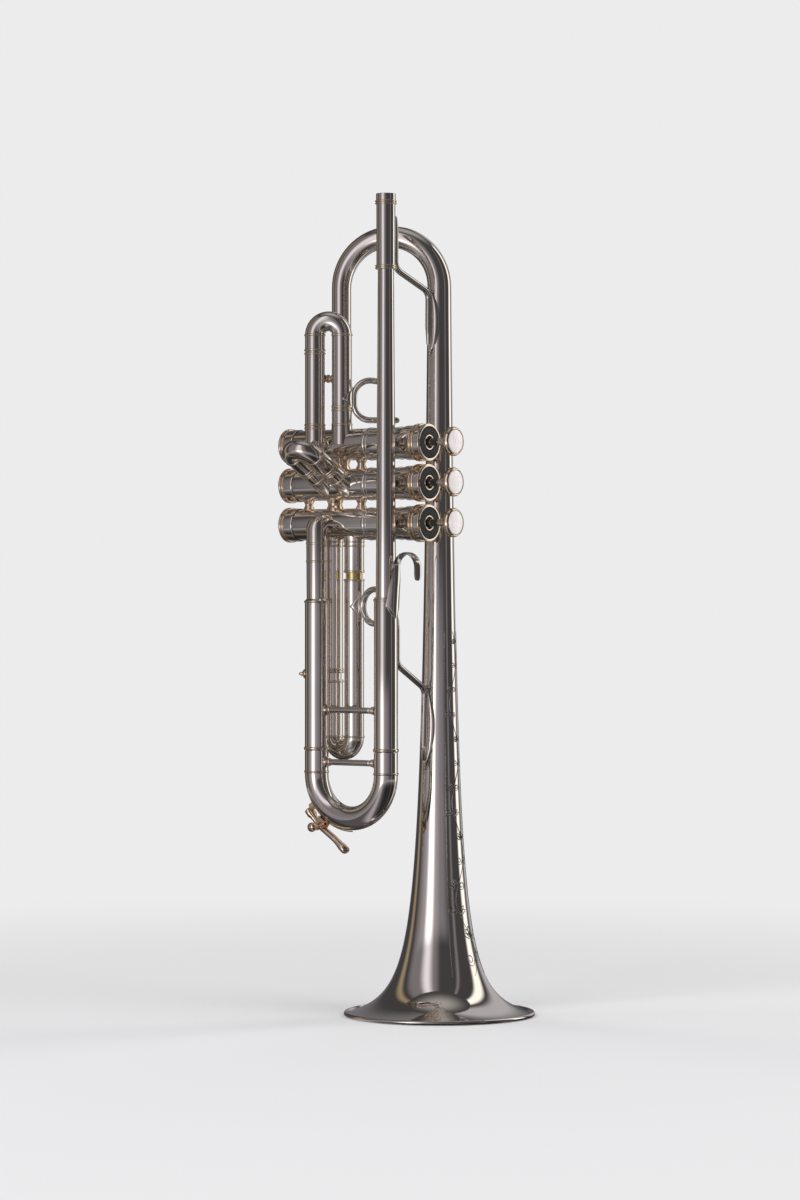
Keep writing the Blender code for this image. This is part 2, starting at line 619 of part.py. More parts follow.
def turned_brace(name, body, material, start, end, radius, middle_radius):
    """A turned brace between two tubes, wide at its feet and at its middle."""
    way = (end - start).normalized()
    length = (end - start).length
    foot = length / 8
    half = length / 2
    turned(name, body, material, start, way, (
        (0.0, 0.0), (0.0, BRACE_FOOT_RADIUS), (foot, radius), (half - foot, radius), (half, middle_radius),
        (half + foot, radius), (length - foot, radius), (length, BRACE_FOOT_RADIUS), (length, 0.0)),
           WIRE_SIDES)


def make_main_braces():
    reach = MAIN_SLEEVE_RADIUS + SOLDER_GAP
    for name, body, height in (("sleeve_brace", trumpet, MAIN_BRACE_Z),
                               ("main_slide_brace", main_slide, MAIN_MOVING_BRACE_Z)):
        start = Vector((MAIN_LOWER_X + reach, LEADPIPE_Y, height))
        end = Vector((LEADPIPE_X - reach, LEADPIPE_Y, height))
        turned_brace(name, body, SILVER, start, end, SLEEVE_BRACE_RADIUS, BALL_RADIUS)


def crook(name, body, route, joints, radii, bores, side):
    """A slide's U: each leg's sliding end, its full-width stretch and the bow between, as one tube.

    joints holds the distance along the route at which each leg becomes full width. radii holds the
    outer radius of the first leg's end, of the bow and of the last leg's end, and bores their bores.
    """
    near, far = joints[0], route.length - joints[1]
    outer = ((0.0, radii[0]), (near, radii[0]), (near, radii[1]), (far, radii[1]), (far, radii[2]),
             (route.length, radii[2]))
    return tube(name, body, SILVER, route, outer, bores, side)


def make_main_slide():
    crown = MAIN_JOINT_Z - MAIN_HALF_WIDTH
    route = Route(((LEADPIPE_X, LEADPIPE_Y, MAIN_INNER_TOP), (LEADPIPE_X, LEADPIPE_Y, crown),
                   (MAIN_LOWER_X, LEADPIPE_Y, crown), (MAIN_LOWER_X, LEADPIPE_Y, MAIN_INNER_TOP)),
                  MAIN_HALF_WIDTH)
    leg = MAIN_INSERTION + SOLDER_GAP
    bore = ((0.0, MAIN_BORE), (route.length, MAIN_BORE))
    crook("main_slide_crook", main_slide, route, (leg, leg),
          (MAIN_INNER_RADIUS, MAIN_SLEEVE_RADIUS, MAIN_INNER_RADIUS), bore, Y_AXIS)


def make_first_slide():
    x, y = FIRST_LOWER.xy
    entry = VALVE_Z[0]
    elbow = Route(((x, VALVE_Y, entry), (x, y, entry), (x, y, FIRST_LOWER_SLEEVE_TOP)), KNUCKLE_BEND)
    bead = elbow.length - SOLDER_GAP - BEAD_HEIGHT
    plain = ((0.0, SIDE_SLEEVE_RADIUS), (elbow.length, SIDE_SLEEVE_RADIUS))
    outer = with_beads(plain, (bead,), SIDE_SLEEVE_RADIUS)
    lower = tube("first_slide_lower_sleeve", trumpet, SILVER, elbow, outer,
                 ((0.0, SIDE_SLEEVE_BORE), (elbow.length, SIDE_SLEEVE_BORE)), FIRST_SIDE)
    combine(lower, casing_spaces[0], "DIFFERENCE")
    stem = upright(FIRST_UPPER.x, FIRST_UPPER.y, VALVE_Z[0] + SEAT_OFFSET, FIRST_STEM_TOP)
    shoulder = FIRST_UPPER_SLEEVE_RISE - SEAT_OFFSET
    outer = with_beads(((0.0, SIDE_SLEEVE_RADIUS), (shoulder, SIDE_SLEEVE_RADIUS)),
                       (shoulder - BEAD_HEIGHT - SOLDER_GAP,), SIDE_SLEEVE_RADIUS)
    outer += [(shoulder, SIDE_INNER_RADIUS), (stem.length, SIDE_INNER_RADIUS)]
    upper = tube("first_slide_upper_stem", trumpet, SILVER, stem, outer,
                 ((0.0, SIDE_BORE), (stem.length, SIDE_BORE)), FIRST_SIDE)
    combine(upper, casing_spaces[0], "DIFFERENCE")
    half = FIRST_SPACING / 2
    crown = FIRST_JOINT_Z + half
    cover_foot = FIRST_UPPER_SLEEVE_TOP + SOLDER_GAP
    bow = Route((FIRST_UPPER + Z_AXIS * cover_foot, FIRST_UPPER + Z_AXIS * crown,
                 FIRST_LOWER + Z_AXIS * crown, FIRST_LOWER + Z_AXIS * FIRST_INNER_END), half)
    cover = FIRST_STEM_TOP - cover_foot + SOLDER_GAP
    bore = ((0.0, SIDE_SLEEVE_BORE), (cover, SIDE_SLEEVE_BORE), (cover, SIDE_BORE), (bow.length, SIDE_BORE))
    lower_leg = FIRST_INSERTION + SOLDER_GAP
    crook("first_slide_crook", first_slide, bow, (cover, lower_leg),
          (SIDE_SLEEVE_RADIUS, SIDE_SLEEVE_RADIUS, SIDE_INNER_RADIUS), bore, FIRST_SIDE)
    tail = Vector((TAIL_X, TAIL_Y, FIRST_BRACE_Z))
    start = FIRST_LOWER + Z_AXIS * FIRST_BRACE_Z
    way = (tail - start).normalized()
    turned_brace("first_slide_brace", trumpet, GOLD, start + way * (SIDE_SLEEVE_RADIUS + SOLDER_GAP),
                 tail - way * (TAIL_RADIUS + SOLDER_GAP), SLEEVE_BRACE_RADIUS, BALL_RADIUS)


def make_second_slide():
    for name, x in (("second_slide_upper_sleeve", SECOND_UPPER_X),
                    ("second_slide_lower_sleeve", SECOND_UPPER_X - SECOND_SPACING)):
        foot = Vector((x, VALVE_Y, VALVE_Z[1] - SECOND_DROP)) + SECOND_WAY * SEAT_OFFSET
        length = SECOND_SLEEVE_END - SEAT_OFFSET
        route = Route((foot, foot + SECOND_WAY * length))
        outer = with_beads(((0.0, SIDE_SLEEVE_RADIUS), (length, SIDE_SLEEVE_RADIUS)),
                           (length - BEAD_HEIGHT - SOLDER_GAP,), SIDE_SLEEVE_RADIUS)
        inner = ((0.0, SIDE_SLEEVE_BORE), (length, SIDE_SLEEVE_BORE))
        sleeve = tube(name, trumpet, SILVER, route, outer, inner)
        combine(sleeve, casing_spaces[1], "DIFFERENCE")
    half = SECOND_SPACING / 2
    upper = Vector((SECOND_UPPER_X, VALVE_Y, VALVE_Z[1] - SECOND_DROP))
    lower = upper - X_AXIS * SECOND_SPACING
    crown = SECOND_JOINT + half
    bow = Route((upper + SECOND_WAY * SECOND_INNER_END, upper + SECOND_WAY * crown,
                 lower + SECOND_WAY * crown, lower + SECOND_WAY * SECOND_INNER_END), half)
    leg = SECOND_INSERTION + SOLDER_GAP
    bore = ((0.0, SIDE_BORE), (bow.length, SIDE_BORE))
    crook("second_slide_crook", second_slide, bow, (leg, leg),
          (SIDE_INNER_RADIUS, SIDE_SLEEVE_RADIUS, SIDE_INNER_RADIUS), bore, SECOND_SIDE)


def make_third_slide():
    foot = VALVE_Z[2] - SEAT_OFFSET
    lower_route = upright(THIRD_LOWER_X, VALVE_Y, THIRD_LOWER_SLEEVE_END, foot)
    outer = with_beads(((0.0, SIDE_SLEEVE_RADIUS), (lower_route.length, SIDE_SLEEVE_RADIUS)), (SOLDER_GAP,),
                       SIDE_SLEEVE_RADIUS)
    lower = tube("third_slide_lower_sleeve", trumpet, SILVER, lower_route, outer,
                 ((0.0, SIDE_SLEEVE_BORE), (lower_route.length, SIDE_SLEEVE_BORE)), Y_AXIS)
    stem = upright(THIRD_UPPER_X, VALVE_Y, THIRD_STEM_END, foot)
    shoulder = THIRD_STEM_REACH
    sleeve = with_beads(((shoulder, SIDE_SLEEVE_RADIUS), (stem.length, SIDE_SLEEVE_RADIUS)),
                        (shoulder + SOLDER_GAP,), SIDE_SLEEVE_RADIUS)
    outer = [(0.0, SIDE_INNER_RADIUS), (shoulder, SIDE_INNER_RADIUS)] + sleeve
    upper = tube("third_slide_upper_stem", trumpet, BRASS, stem, outer,
                 ((0.0, SIDE_BORE), (stem.length, SIDE_BORE)), Y_AXIS)
    for sleeve_piece in (lower, upper):
        combine(sleeve_piece, casing_spaces[2], "DIFFERENCE")
    half = THIRD_SPACING / 2
    crown = THIRD_JOINT_Z - half
    bow = Route(((THIRD_UPPER_X, VALVE_Y, THIRD_COVER_TOP), (THIRD_UPPER_X, VALVE_Y, crown),
                 (THIRD_LOWER_X, VALVE_Y, crown), (THIRD_LOWER_X, VALVE_Y, THIRD_INNER_TOP)), half)
    cover = THIRD_STEM_REACH + SOLDER_GAP
    bore = ((0.0, SIDE_SLEEVE_BORE), (cover, SIDE_SLEEVE_BORE), (cover, SIDE_BORE), (bow.length, SIDE_BORE))
    lower_leg = THIRD_INSERTION + THIRD_PULLED
    crook("third_slide_crook", third_slide, bow, (cover, lower_leg),
          (SIDE_SLEEVE_RADIUS, SIDE_SLEEVE_RADIUS, SIDE_INNER_RADIUS), bore, Y_AXIS)


def make_casing(number):
    middle = Vector((0.0, VALVE_Y, VALVE_Z[number]))
    casing = turned(f"valve_casing_{number + 1}", trumpet, SILVER, middle, X_AXIS, (
        (CASING_BOTTOM, CASING_BORE), (CASING_BOTTOM, CASING_RADIUS), (CASING_TOP, CASING_RADIUS),
        (CASING_TOP, CASING_BORE)))
    for name, start, way in PORTS[number]:
        reach = 2 * CASING_RADIUS
        port = turned(f"{name}_port_{number + 1}", trumpet, SILVER, start, way,
                      ((0.0, 0.0), (0.0, PORT_RADIUS), (reach, PORT_RADIUS), (reach, 0.0)), TUBE_SIDES)
        combine(casing, port, "DIFFERENCE")


def port_at(x, side, number, drop=0.0):
    return Vector((x, VALVE_Y + side, VALVE_Z[number] - drop))


PORTS = (
    (("tail", port_at(TAIL_X, TAIL_SIDE, 0), Z_AXIS),
     ("first_upper", port_at(FIRST_UPPER_X, FIRST_UPPER_SIDE, 0), Z_AXIS),
     ("first_lower", port_at(FIRST_LOWER.x, 0.0, 0), -Y_AXIS),
     ("crossover", port_at(CROSSOVER_X[0], 0.0, 0), -Z_AXIS)),
    (("crossover_in", port_at(CROSSOVER_X[0], 0.0, 1), Z_AXIS),
     ("crossover_out", port_at(CROSSOVER_X[1], 0.0, 1), -Z_AXIS),
     ("second_upper", port_at(SECOND_UPPER_X, 0.0, 1, SECOND_DROP), SECOND_WAY),
     ("second_lower", port_at(SECOND_UPPER_X - SECOND_SPACING, 0.0, 1, SECOND_DROP), SECOND_WAY)),
    (("crossover", port_at(CROSSOVER_X[1], 0.0, 2), Z_AXIS),
     ("third_upper", port_at(THIRD_UPPER_X, 0.0, 2), -Z_AXIS),
     ("third_lower", port_at(THIRD_LOWER_X, 0.0, 2), -Z_AXIS),
     ("main", port_at(MAIN_LOWER_X, 0.0, 2), -Y_AXIS)),
)


def make_casing_links():
    for gap in range(VALVE_COUNT - 1):
        pair = f"{gap + 1}_{gap + 2}"
        spaces = casing_spaces[gap:gap + 2]
        route = upright(CROSSOVER_X[gap], VALVE_Y, VALVE_Z[gap + 1], VALVE_Z[gap])
        outer = ((0.0, CROSSOVER_RADIUS), (route.length, CROSSOVER_RADIUS))
        inner = ((0.0, CROSSOVER_RADIUS - TUBE_WALL), (route.length, CROSSOVER_RADIUS - TUBE_WALL))
        links = [tube(f"crossover_{pair}", trumpet, SILVER, route, outer, inner)]
        for place, x in zip(("upper", "lower"), SPACER_X):
            route = upright(x, VALVE_Y, VALVE_Z[gap + 1], VALVE_Z[gap])
            links.append(rod(f"{place}_spacer_{pair}", trumpet, SILVER, route,
                             ((0.0, SPACER_RADIUS), (route.length, SPACER_RADIUS))))
        for link in links:
            for space in spaces:
                combine(link, space, "DIFFERENCE")


def make_caps(number):
    middle = Vector((0.0, VALVE_Y, VALVE_Z[number]))
    foot = CAP_FACE - CAP_HEIGHT
    chamfer = CAP_GROOVE
    low, high = foot + CAP_HEIGHT * 0.35, foot + CAP_HEIGHT * 0.65
    waist = CAP_RADIUS - CAP_GROOVE
    lip = CAP_RADIUS - CAP_LIP
    hole = STEM_RADIUS + STEM_CLEARANCE
    turned(f"top_cap_{number + 1}", trumpet, GOLD, middle, X_AXIS, (
        (foot, CAP_BORE), (foot, waist), (foot + chamfer, CAP_RADIUS), (low, CAP_RADIUS),
        (low + chamfer, waist), (high - chamfer, waist), (high, CAP_RADIUS), (CAP_FACE - chamfer, CAP_RADIUS),
        (CAP_FACE, waist), (CAP_FACE, lip), (FELT_FACE, lip), (FELT_FACE, hole), (CAP_UNDERSIDE, hole),
        (CAP_UNDERSIDE, CAP_BORE)))
    felt_foot = FELT_FACE + SOLDER_GAP
    felt_edge = lip - SOLDER_GAP
    turned(f"cap_felt_{number + 1}", trumpet, FELT, middle, X_AXIS, (
        (felt_foot, hole), (felt_foot, felt_edge), (CAP_FACE, felt_edge), (CAP_FACE, hole)))
    shoulder = BOTTOM_CAP_FACE + BOTTOM_CAP_HEIGHT
    turned(f"bottom_cap_{number + 1}", trumpet, GOLD, middle, X_AXIS, (
        (BOTTOM_CAP_FACE, 0.0), (BOTTOM_CAP_FACE, BOTTOM_CAP_RADIUS - chamfer),
        (BOTTOM_CAP_FACE + chamfer, BOTTOM_CAP_RADIUS), (shoulder, BOTTOM_CAP_RADIUS), (shoulder, CAP_BORE),
        (BOTTOM_CAP_FLOOR, CAP_BORE), (BOTTOM_CAP_FLOOR, 0.0)))


def make_valve(number):
    body = valve_bodies[number]
    middle = Vector((0.0, VALVE_Y, VALVE_Z[number]))
    radius = PISTON_RADIUS
    chamfer = BEAD_PROUD
    piston = turned(f"piston_{number + 1}", body, STEEL, middle, X_AXIS, (
        (PISTON_BOTTOM, 0.0), (PISTON_BOTTOM, radius - chamfer), (PISTON_BOTTOM + chamfer, radius),
        (PISTON_SHOULDER - chamfer, radius), (PISTON_SHOULDER, PISTON_NECK_RADIUS),
        (PISTON_TOP, PISTON_NECK_RADIUS), (PISTON_TOP, 0.0)))
    open_x = CROSSOVER_X[min(number, VALVE_COUNT - 2)]
    for name, x, way in (("open", open_x, Z_AXIS), ("pressed", open_x + STROKE, Y_AXIS)):
        start = middle + X_AXIS * x - way * CASING_RADIUS
        reach = 2 * CASING_RADIUS
        bore = turned(f"{name}_passage_{number + 1}", body, STEEL, start, way,
                      ((0.0, 0.0), (0.0, PORT_RADIUS), (reach, PORT_RADIUS), (reach, 0.0)), TUBE_SIDES)
        combine(piston, bore, "DIFFERENCE")
    edge = CAP_GROOVE
    pearl_seat = PEARL_RADIUS + SOLDER_GAP
    seat_floor = BUTTON_FACE - PEARL_DEPTH
    stem_foot = PISTON_TOP + SOLDER_GAP
    turned(f"finger_button_{number + 1}", body, GOLD, middle, X_AXIS, (
        (stem_foot, 0.0), (stem_foot, STEM_RADIUS), (BUTTON_UNDERSIDE, STEM_RADIUS),
        (BUTTON_UNDERSIDE, BUTTON_RADIUS - edge), (BUTTON_UNDERSIDE + edge, BUTTON_RADIUS),
        (BUTTON_FACE - edge, BUTTON_RADIUS), (BUTTON_FACE, BUTTON_RADIUS - edge), (BUTTON_FACE, pearl_seat),
        (seat_floor, pearl_seat), (seat_floor, 0.0)))
    turned(f"button_pearl_{number + 1}", body, PEARL, middle, X_AXIS, (
        (seat_floor + SOLDER_GAP, 0.0), (seat_floor + SOLDER_GAP, PEARL_RADIUS), (BUTTON_FACE, PEARL_RADIUS),
        (BUTTON_FACE + PEARL_CROWN * 0.7, PEARL_RADIUS * 0.6), (BUTTON_FACE + PEARL_CROWN, 0.0)))
    make_spring(number, middle)


def make_spring(number, middle):
    """The return spring, wound between the piston's foot and the bottom cap."""
    low = BOTTOM_CAP_FLOOR + SOLDER_GAP + SPRING_WIRE
    high = PISTON_BOTTOM - SOLDER_GAP - SPRING_WIRE
    count = SPRING_TURNS * SPRING_POINTS
    points = []
    for step in range(count + 1):
        turn = 2 * math.pi * step / SPRING_POINTS
        ring = Vector((0.0, math.cos(turn), math.sin(turn))) * SPRING_RADIUS
        points.append(middle + X_AXIS * (low + (high - low) * step / count) + ring)
    route = Route(points)
    profile = [(stop, SPRING_WIRE) for stop in route.stops]
    rod(f"valve_spring_{number + 1}", trumpet, STEEL, route, profile, X_AXIS, SPRING_SIDES)


def make_bell_braces():
    way = Vector((-LEADPIPE_X, -LEADPIPE_Y, 0.0)).normalized()
    pipe = Vector((LEADPIPE_X, LEADPIPE_Y, 0.0))
    standoff = SOLDER_GAP + BRACE_WIRE
    upper_low = RECEIVER_BOTTOM + BRACE_FOOT_LIFT
    lower_low = MAIN_SLEEVE_TOP - LOWER_BRACE_DROP - LOWER_BRACE_STEPS[0]
    for name, low, steps, pipe_radius in (
            ("upper_bell_brace", upper_low, UPPER_BRACE_STEPS, RECEIVER_RADIUS + RECEIVER_RING),
            ("lower_bell_brace", lower_low, LOWER_BRACE_STEPS, MAIN_SLEEVE_RADIUS)):
        near = pipe + way * (pipe_radius + standoff)
        points = [near + Z_AXIS * (low + steps[0]), near + Z_AXIS * low]
        for height in (low - steps[1], low - steps[1] - steps[2]):
            points.append(Z_AXIS * height - way * (bell_radius(height) + standoff))
        route = Route(points, BRACE_BEND)
        rod(name, trumpet, SILVER, route, ((0.0, BRACE_WIRE), (route.length, BRACE_WIRE)), way.cross(Z_AXIS))


def make_little_finger_hook():
    way = Vector((math.cos(HOOK_TURN), math.sin(HOOK_TURN), 0.0))
    pipe = Vector((LEADPIPE_X, LEADPIPE_Y, 0.0))
    near = pipe + way * (MAIN_SLEEVE_RADIUS + BEAD_PROUD + SOLDER_GAP + HOOK_WIRE)
    far = near + way * HOOK_SPAN
    foot, top = MAIN_SLEEVE_TOP - HOOK_FOOT_DROP, MAIN_SLEEVE_TOP + HOOK_RISE
    route = Route((near + Z_AXIS * foot, near + Z_AXIS * top, far + Z_AXIS * top,
                   far + Z_AXIS * (top - HOOK_TIP_DROP)), HOOK_SPAN / 2)
    rod("little_finger_hook", trumpet, SILVER, route, ((0.0, HOOK_WIRE), (route.length, HOOK_WIRE)),
        way.cross(Z_AXIS))


def make_thumb_saddle():
    back = FIRST_UPPER + GRIP_WAY * (SIDE_SLEEVE_RADIUS + SOLDER_GAP + HOOK_WIRE)
    tip = back + GRIP_WAY * SADDLE_REACH
    top = Z_AXIS * (FIRST_UPPER_SLEEVE_TOP + SADDLE_RISE)
    foot = top - Z_AXIS * SADDLE_HEIGHT
    route = Route((tip + top, back + top, back + foot, tip + foot), SADDLE_BEND)
    rod("thumb_saddle", first_slide, SILVER, route, ((0.0, HOOK_WIRE), (route.length, HOOK_WIRE)),
        GRIP_WAY.cross(Z_AXIS))


def make_finger_ring():
    leg = Vector((THIRD_UPPER_X, VALVE_Y, THIRD_COVER_TOP - FINGER_RING_DROP))
    middle = leg + RING_WAY * (SIDE_SLEEVE_RADIUS + SOLDER_GAP + FINGER_RING_RADIUS)
    mean = FINGER_RING_RADIUS - HOOK_WIRE
    profile = []
    for step in range(WIRE_SIDES):
        turn = 2 * math.pi * step / WIRE_SIDES
        profile.append((HOOK_WIRE * math.sin(turn), mean + HOOK_WIRE * math.cos(turn)))
    turned("finger_ring", third_slide, SILVER, middle, RING_WAY.cross(Z_AXIS), profile)


def make_stud():
    middle = Vector((MAIN_LOWER_X, LEADPIPE_Y, MAIN_SLEEVE_END + STUD_LIFT))
    foot = middle - GRIP_WAY * (MAIN_SLEEVE_RADIUS + SOLDER_GAP)
    turned("sleeve_stud", trumpet, SILVER, foot, -GRIP_WAY, (
        (0.0, 0.0), (0.0, STUD_RADIUS), (STUD_HEIGHT / 4, STUD_RADIUS), (STUD_HEIGHT / 2, STUD_RADIUS / 2),
        (STUD_HEIGHT, 0.0)), WIRE_SIDES)


def make_water_key():
    tip = key_point(KEY_TIP_ANGLE, KEY_TIP_STANDOFF)
    end = key_point(KEY_CORK_ANGLE, KEY_STANDOFF - SOLDER_GAP)
    arm = (KEY_PIVOT - end).length
    route = Route((end, KEY_PIVOT, tip))
    touch = route.length - KEY_PAD_LENGTH
    profile = ((0.0, KEY_PAD), (KEY_PAD_LENGTH, KEY_PAD), (KEY_PAD_LENGTH, KEY_ARM),
               (arm - KEY_BOSS, KEY_ARM), (arm - KEY_BOSS / 2, KEY_BOSS), (arm + KEY_BOSS / 2, KEY_BOSS),
               (arm + KEY_BOSS, KEY_ARM), (touch, KEY_ARM), (touch, KEY_PAD), (route.length, KEY_PAD))
    lever = rod("water_key_lever", water_key, GOLD, route, profile, Y_AXIS)
    out = (KEY_PIVOT - MAIN_BOW_MIDDLE).normalized()
    along = Y_AXIS.cross(out)
    base = MAIN_BOW_MIDDLE + out * (MAIN_BOW_OUTSIDE + SOLDER_GAP)
    slot = 2 * (KEY_BOSS + SOLDER_GAP)
    width = slot + 2 * KEY_EAR
    height = KEY_STANDOFF - SOLDER_GAP + KEY_BOSS
    depth = 2 * KEY_BOSS
    axes = (along, Y_AXIS, out)
    saddle = block("water_key_saddle", main_slide, GOLD, base + out * height / 2, axes,
                   (depth, width, height))
    slot_middle = base + out * (KEY_BASE + height / 2)
    slot_tool = block("water_key_slot", main_slide, GOLD, slot_middle, axes, (2 * depth, slot, height))
    combine(saddle, slot_tool, "DIFFERENCE")
    start = KEY_PIVOT - Y_AXIS * width
    hole_radius = KEY_PIN_RADIUS + PIN_CLEARANCE
    for body, piece in ((main_slide, saddle), (water_key, lever)):
        hole = turned(f"{piece.name}_hole", body, GOLD, start, Y_AXIS, (
            (0.0, 0.0), (0.0, hole_radius), (2 * width, hole_radius), (2 * width, 0.0)), WIRE_SIDES)
        combine(piece, hole, "DIFFERENCE")
    ear = width / 2
    ball = ear + KEY_PIN_PROUD
    turned("water_key_screw", main_slide, GOLD, KEY_PIVOT, -Y_AXIS, (
        (-ear, 0.0), (-ear, KEY_PIN_RADIUS), (ball - KEY_BALL_RADIUS, KEY_PIN_RADIUS),
        (ball - KEY_BALL_RADIUS / 2, KEY_BALL_RADIUS), (ball + KEY_BALL_RADIUS / 2, KEY_BALL_RADIUS),
        (ball + KEY_BALL_RADIUS, KEY_PIN_RADIUS), (ball + KEY_BALL_RADIUS, 0.0)), WIRE_SIDES)
    cork_way = (key_point(KEY_CORK_ANGLE, KEY_STANDOFF) - MAIN_BOW_MIDDLE).normalized()
    cork_foot = MAIN_BOW_MIDDLE + cork_way * (MAIN_BOW_OUTSIDE + SOLDER_GAP)
    cork_height = KEY_STANDOFF - 3 * SOLDER_GAP - KEY_PAD
    turned("water_key_cork", water_key, CORK, cork_foot, cork_way, (
        (0.0, 0.0), (0.0, CORK_RADIUS), (cork_height, CORK_RADIUS), (cork_height, 0.0)), WIRE_SIDES)


make_bell()
make_bell_bow()
make_leadpipe()
make_main_sleeves()
make_main_braces()
make_main_slide()
make_first_slide()
make_second_slide()
make_third_slide()
for valve in range(VALVE_COUNT):
    make_casing(valve)
    make_caps(valve)
    make_valve(valve)
make_casing_links()
make_bell_braces()
make_little_finger_hook()
make_thumb_saddle()
make_finger_ring()
make_stud()
make_water_key()
trumpet.location = -BOX_MIDDLE
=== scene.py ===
# %% [markdown]
# # A silver trumpet, standing on its bell
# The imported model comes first: it holds every piece at its real size and place, and says which
# pieces move together. The looks are then built around it, one piece at a time, so that little has
# to be fitted by eye. The studio comes next, then the finishes and the helpers, and then the
# instrument, part by part.

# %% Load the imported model
import json
import math

import bmesh
import bpy
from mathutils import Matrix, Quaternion, Vector


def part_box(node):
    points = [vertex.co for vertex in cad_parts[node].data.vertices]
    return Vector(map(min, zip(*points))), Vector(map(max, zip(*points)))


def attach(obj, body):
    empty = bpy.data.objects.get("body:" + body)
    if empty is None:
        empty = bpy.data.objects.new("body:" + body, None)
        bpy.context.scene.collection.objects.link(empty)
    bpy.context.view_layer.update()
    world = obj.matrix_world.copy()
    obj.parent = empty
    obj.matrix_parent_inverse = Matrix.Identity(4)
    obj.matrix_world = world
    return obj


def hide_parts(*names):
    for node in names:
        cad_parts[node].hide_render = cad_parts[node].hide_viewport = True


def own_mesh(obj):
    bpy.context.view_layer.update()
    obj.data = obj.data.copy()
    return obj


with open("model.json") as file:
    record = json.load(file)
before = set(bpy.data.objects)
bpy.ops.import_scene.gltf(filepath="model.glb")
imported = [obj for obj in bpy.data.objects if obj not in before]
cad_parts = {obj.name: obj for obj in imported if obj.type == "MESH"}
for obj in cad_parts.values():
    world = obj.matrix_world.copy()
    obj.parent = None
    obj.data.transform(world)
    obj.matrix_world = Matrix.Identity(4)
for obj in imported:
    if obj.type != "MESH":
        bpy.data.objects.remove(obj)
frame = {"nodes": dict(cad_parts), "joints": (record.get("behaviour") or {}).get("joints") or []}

MM = 0.001
X_AXIS = Vector((1.0, 0.0, 0.0))
Y_AXIS = Vector((0.0, 1.0, 0.0))
Z_AXIS = Vector((0.0, 0.0, 1.0))
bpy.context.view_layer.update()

# %% [markdown]
# ## Where the eye stands
# The buttons turn towards the lens, the bottom caps turn away, and the bell's rim is a thin
# ellipse, so the picture was taken from well to the right of the front and level with the slides. A
# long lens keeps the tubes parallel. The lens length follows from the picture's height in pixels.

# %% Camera
PICTURE_HEIGHT = 1200
FOCAL_PIXELS = 3709.0
SENSOR = 36.0
VIEW_TURN = math.radians(37.8)
VIEW_DISTANCE = 2284.5 * MM
VIEW_HEIGHT = 255.3 * MM
VIEW_SIDE = -3.0 * MM
TOWARDS_EYE = Vector((math.sin(VIEW_TURN), -math.cos(VIEW_TURN), 0.0))
TO_THE_RIGHT = Vector((math.cos(VIEW_TURN), math.sin(VIEW_TURN), 0.0))
scene = bpy.context.scene

camera_data = bpy.data.cameras.new("eye")
camera_data.sensor_fit = "VERTICAL"
camera_data.sensor_height = SENSOR
camera_data.lens = FOCAL_PIXELS / PICTURE_HEIGHT * SENSOR
camera = bpy.data.objects.new("eye", camera_data)
scene.collection.objects.link(camera)
camera.location = TOWARDS_EYE * VIEW_DISTANCE + TO_THE_RIGHT * VIEW_SIDE + Z_AXIS * VIEW_HEIGHT
camera.rotation_euler = (-TOWARDS_EYE).to_track_quat("-Z", "Y").to_euler()
scene.camera = camera
print("lens", round(camera_data.lens, 1), "mm")

# %% [markdown]
# ## Which rays see the bright background
# A bright background would also throw light on the object, and the colours would wash out. A light
# path node tells one kind of ray from another. Only rays from the lens, from shiny metal and
# through clear things are let through to the bright background, so it is seen and mirrored but
# lights nothing.

# %% Rays that see the background
SEEN_RAYS = ("Is Camera Ray", "Is Glossy Ray", "Is Transmission Ray")


def combined(nodes, links, operation, first, second):
    """One value made of two by a math node."""
    node = nodes.new("ShaderNodeMath")
    node.operation = operation
    links.new(first, node.inputs[0])
    links.new(second, node.inputs[1])
    return node.outputs[0]


def seen_directly(nodes, links):
    """1 for the rays that see the background and 0 for the rest."""
    path = nodes.new("ShaderNodeLightPath")
    value = path.outputs[SEEN_RAYS[0]]
    for kind in SEEN_RAYS[1:]:
        value = combined(nodes, links, "MAXIMUM", value, path.outputs[kind])
    return value


print("the background is seen by", len(SEEN_RAYS), "kinds of ray")

# %% [markdown]
# ## Floor
# The floor is a plain pale sheet. Close to the object it takes light and shadow as paper does.
# Further out it fades to the background's own brightness, so that no horizon shows. The fade
# follows the distance from the middle, with a soft step, because a straight ramp would leave a
# visible ring where it starts.

# %% Floor that fades out
PALE = (0.84, 0.84, 0.85, 1.0)
FLOOR_HALF = 40.0
FADE_START, FADE_END = 0.25, 0.95
PAPER_ROUGHNESS, PAPER_SHINE = 0.8, 0.1
SQUARE = ((-1, -1), (1, -1), (1, 1), (-1, 1))


def blank_material(name):
    """A new material with its nodes and links."""
    material = bpy.data.materials.new(name)
    material.use_nodes = True
    return material, material.node_tree.nodes, material.node_tree.links


def stretched(nodes, links, value, low, high, step="LINEAR"):
    """A node that puts out 0 where the value is low and 1 where it is high."""
    node = nodes.new("ShaderNodeMapRange")
    node.interpolation_type = step
    node.inputs["From Min"].default_value = low
    node.inputs["From Max"].default_value = high
    links.new(value, node.inputs["Value"])
    return node


def fade_outwards(nodes, links, start, end):
    """0 within one distance of the middle and 1 beyond another, with a soft step between them."""
    where = nodes.new("ShaderNodeTexCoord")
    level = nodes.new("ShaderNodeVectorMath")
    level.operation = "MULTIPLY"
    level.inputs[1].default_value = (1.0, 1.0, 0.0)
    reach = nodes.new("ShaderNodeVectorMath")
    reach.operation = "LENGTH"
    links.new(where.outputs["Object"], level.inputs[0])
    links.new(level.outputs[0], reach.inputs[0])
    return stretched(nodes, links, reach.outputs["Value"], start, end, "SMOOTHSTEP").outputs[0]


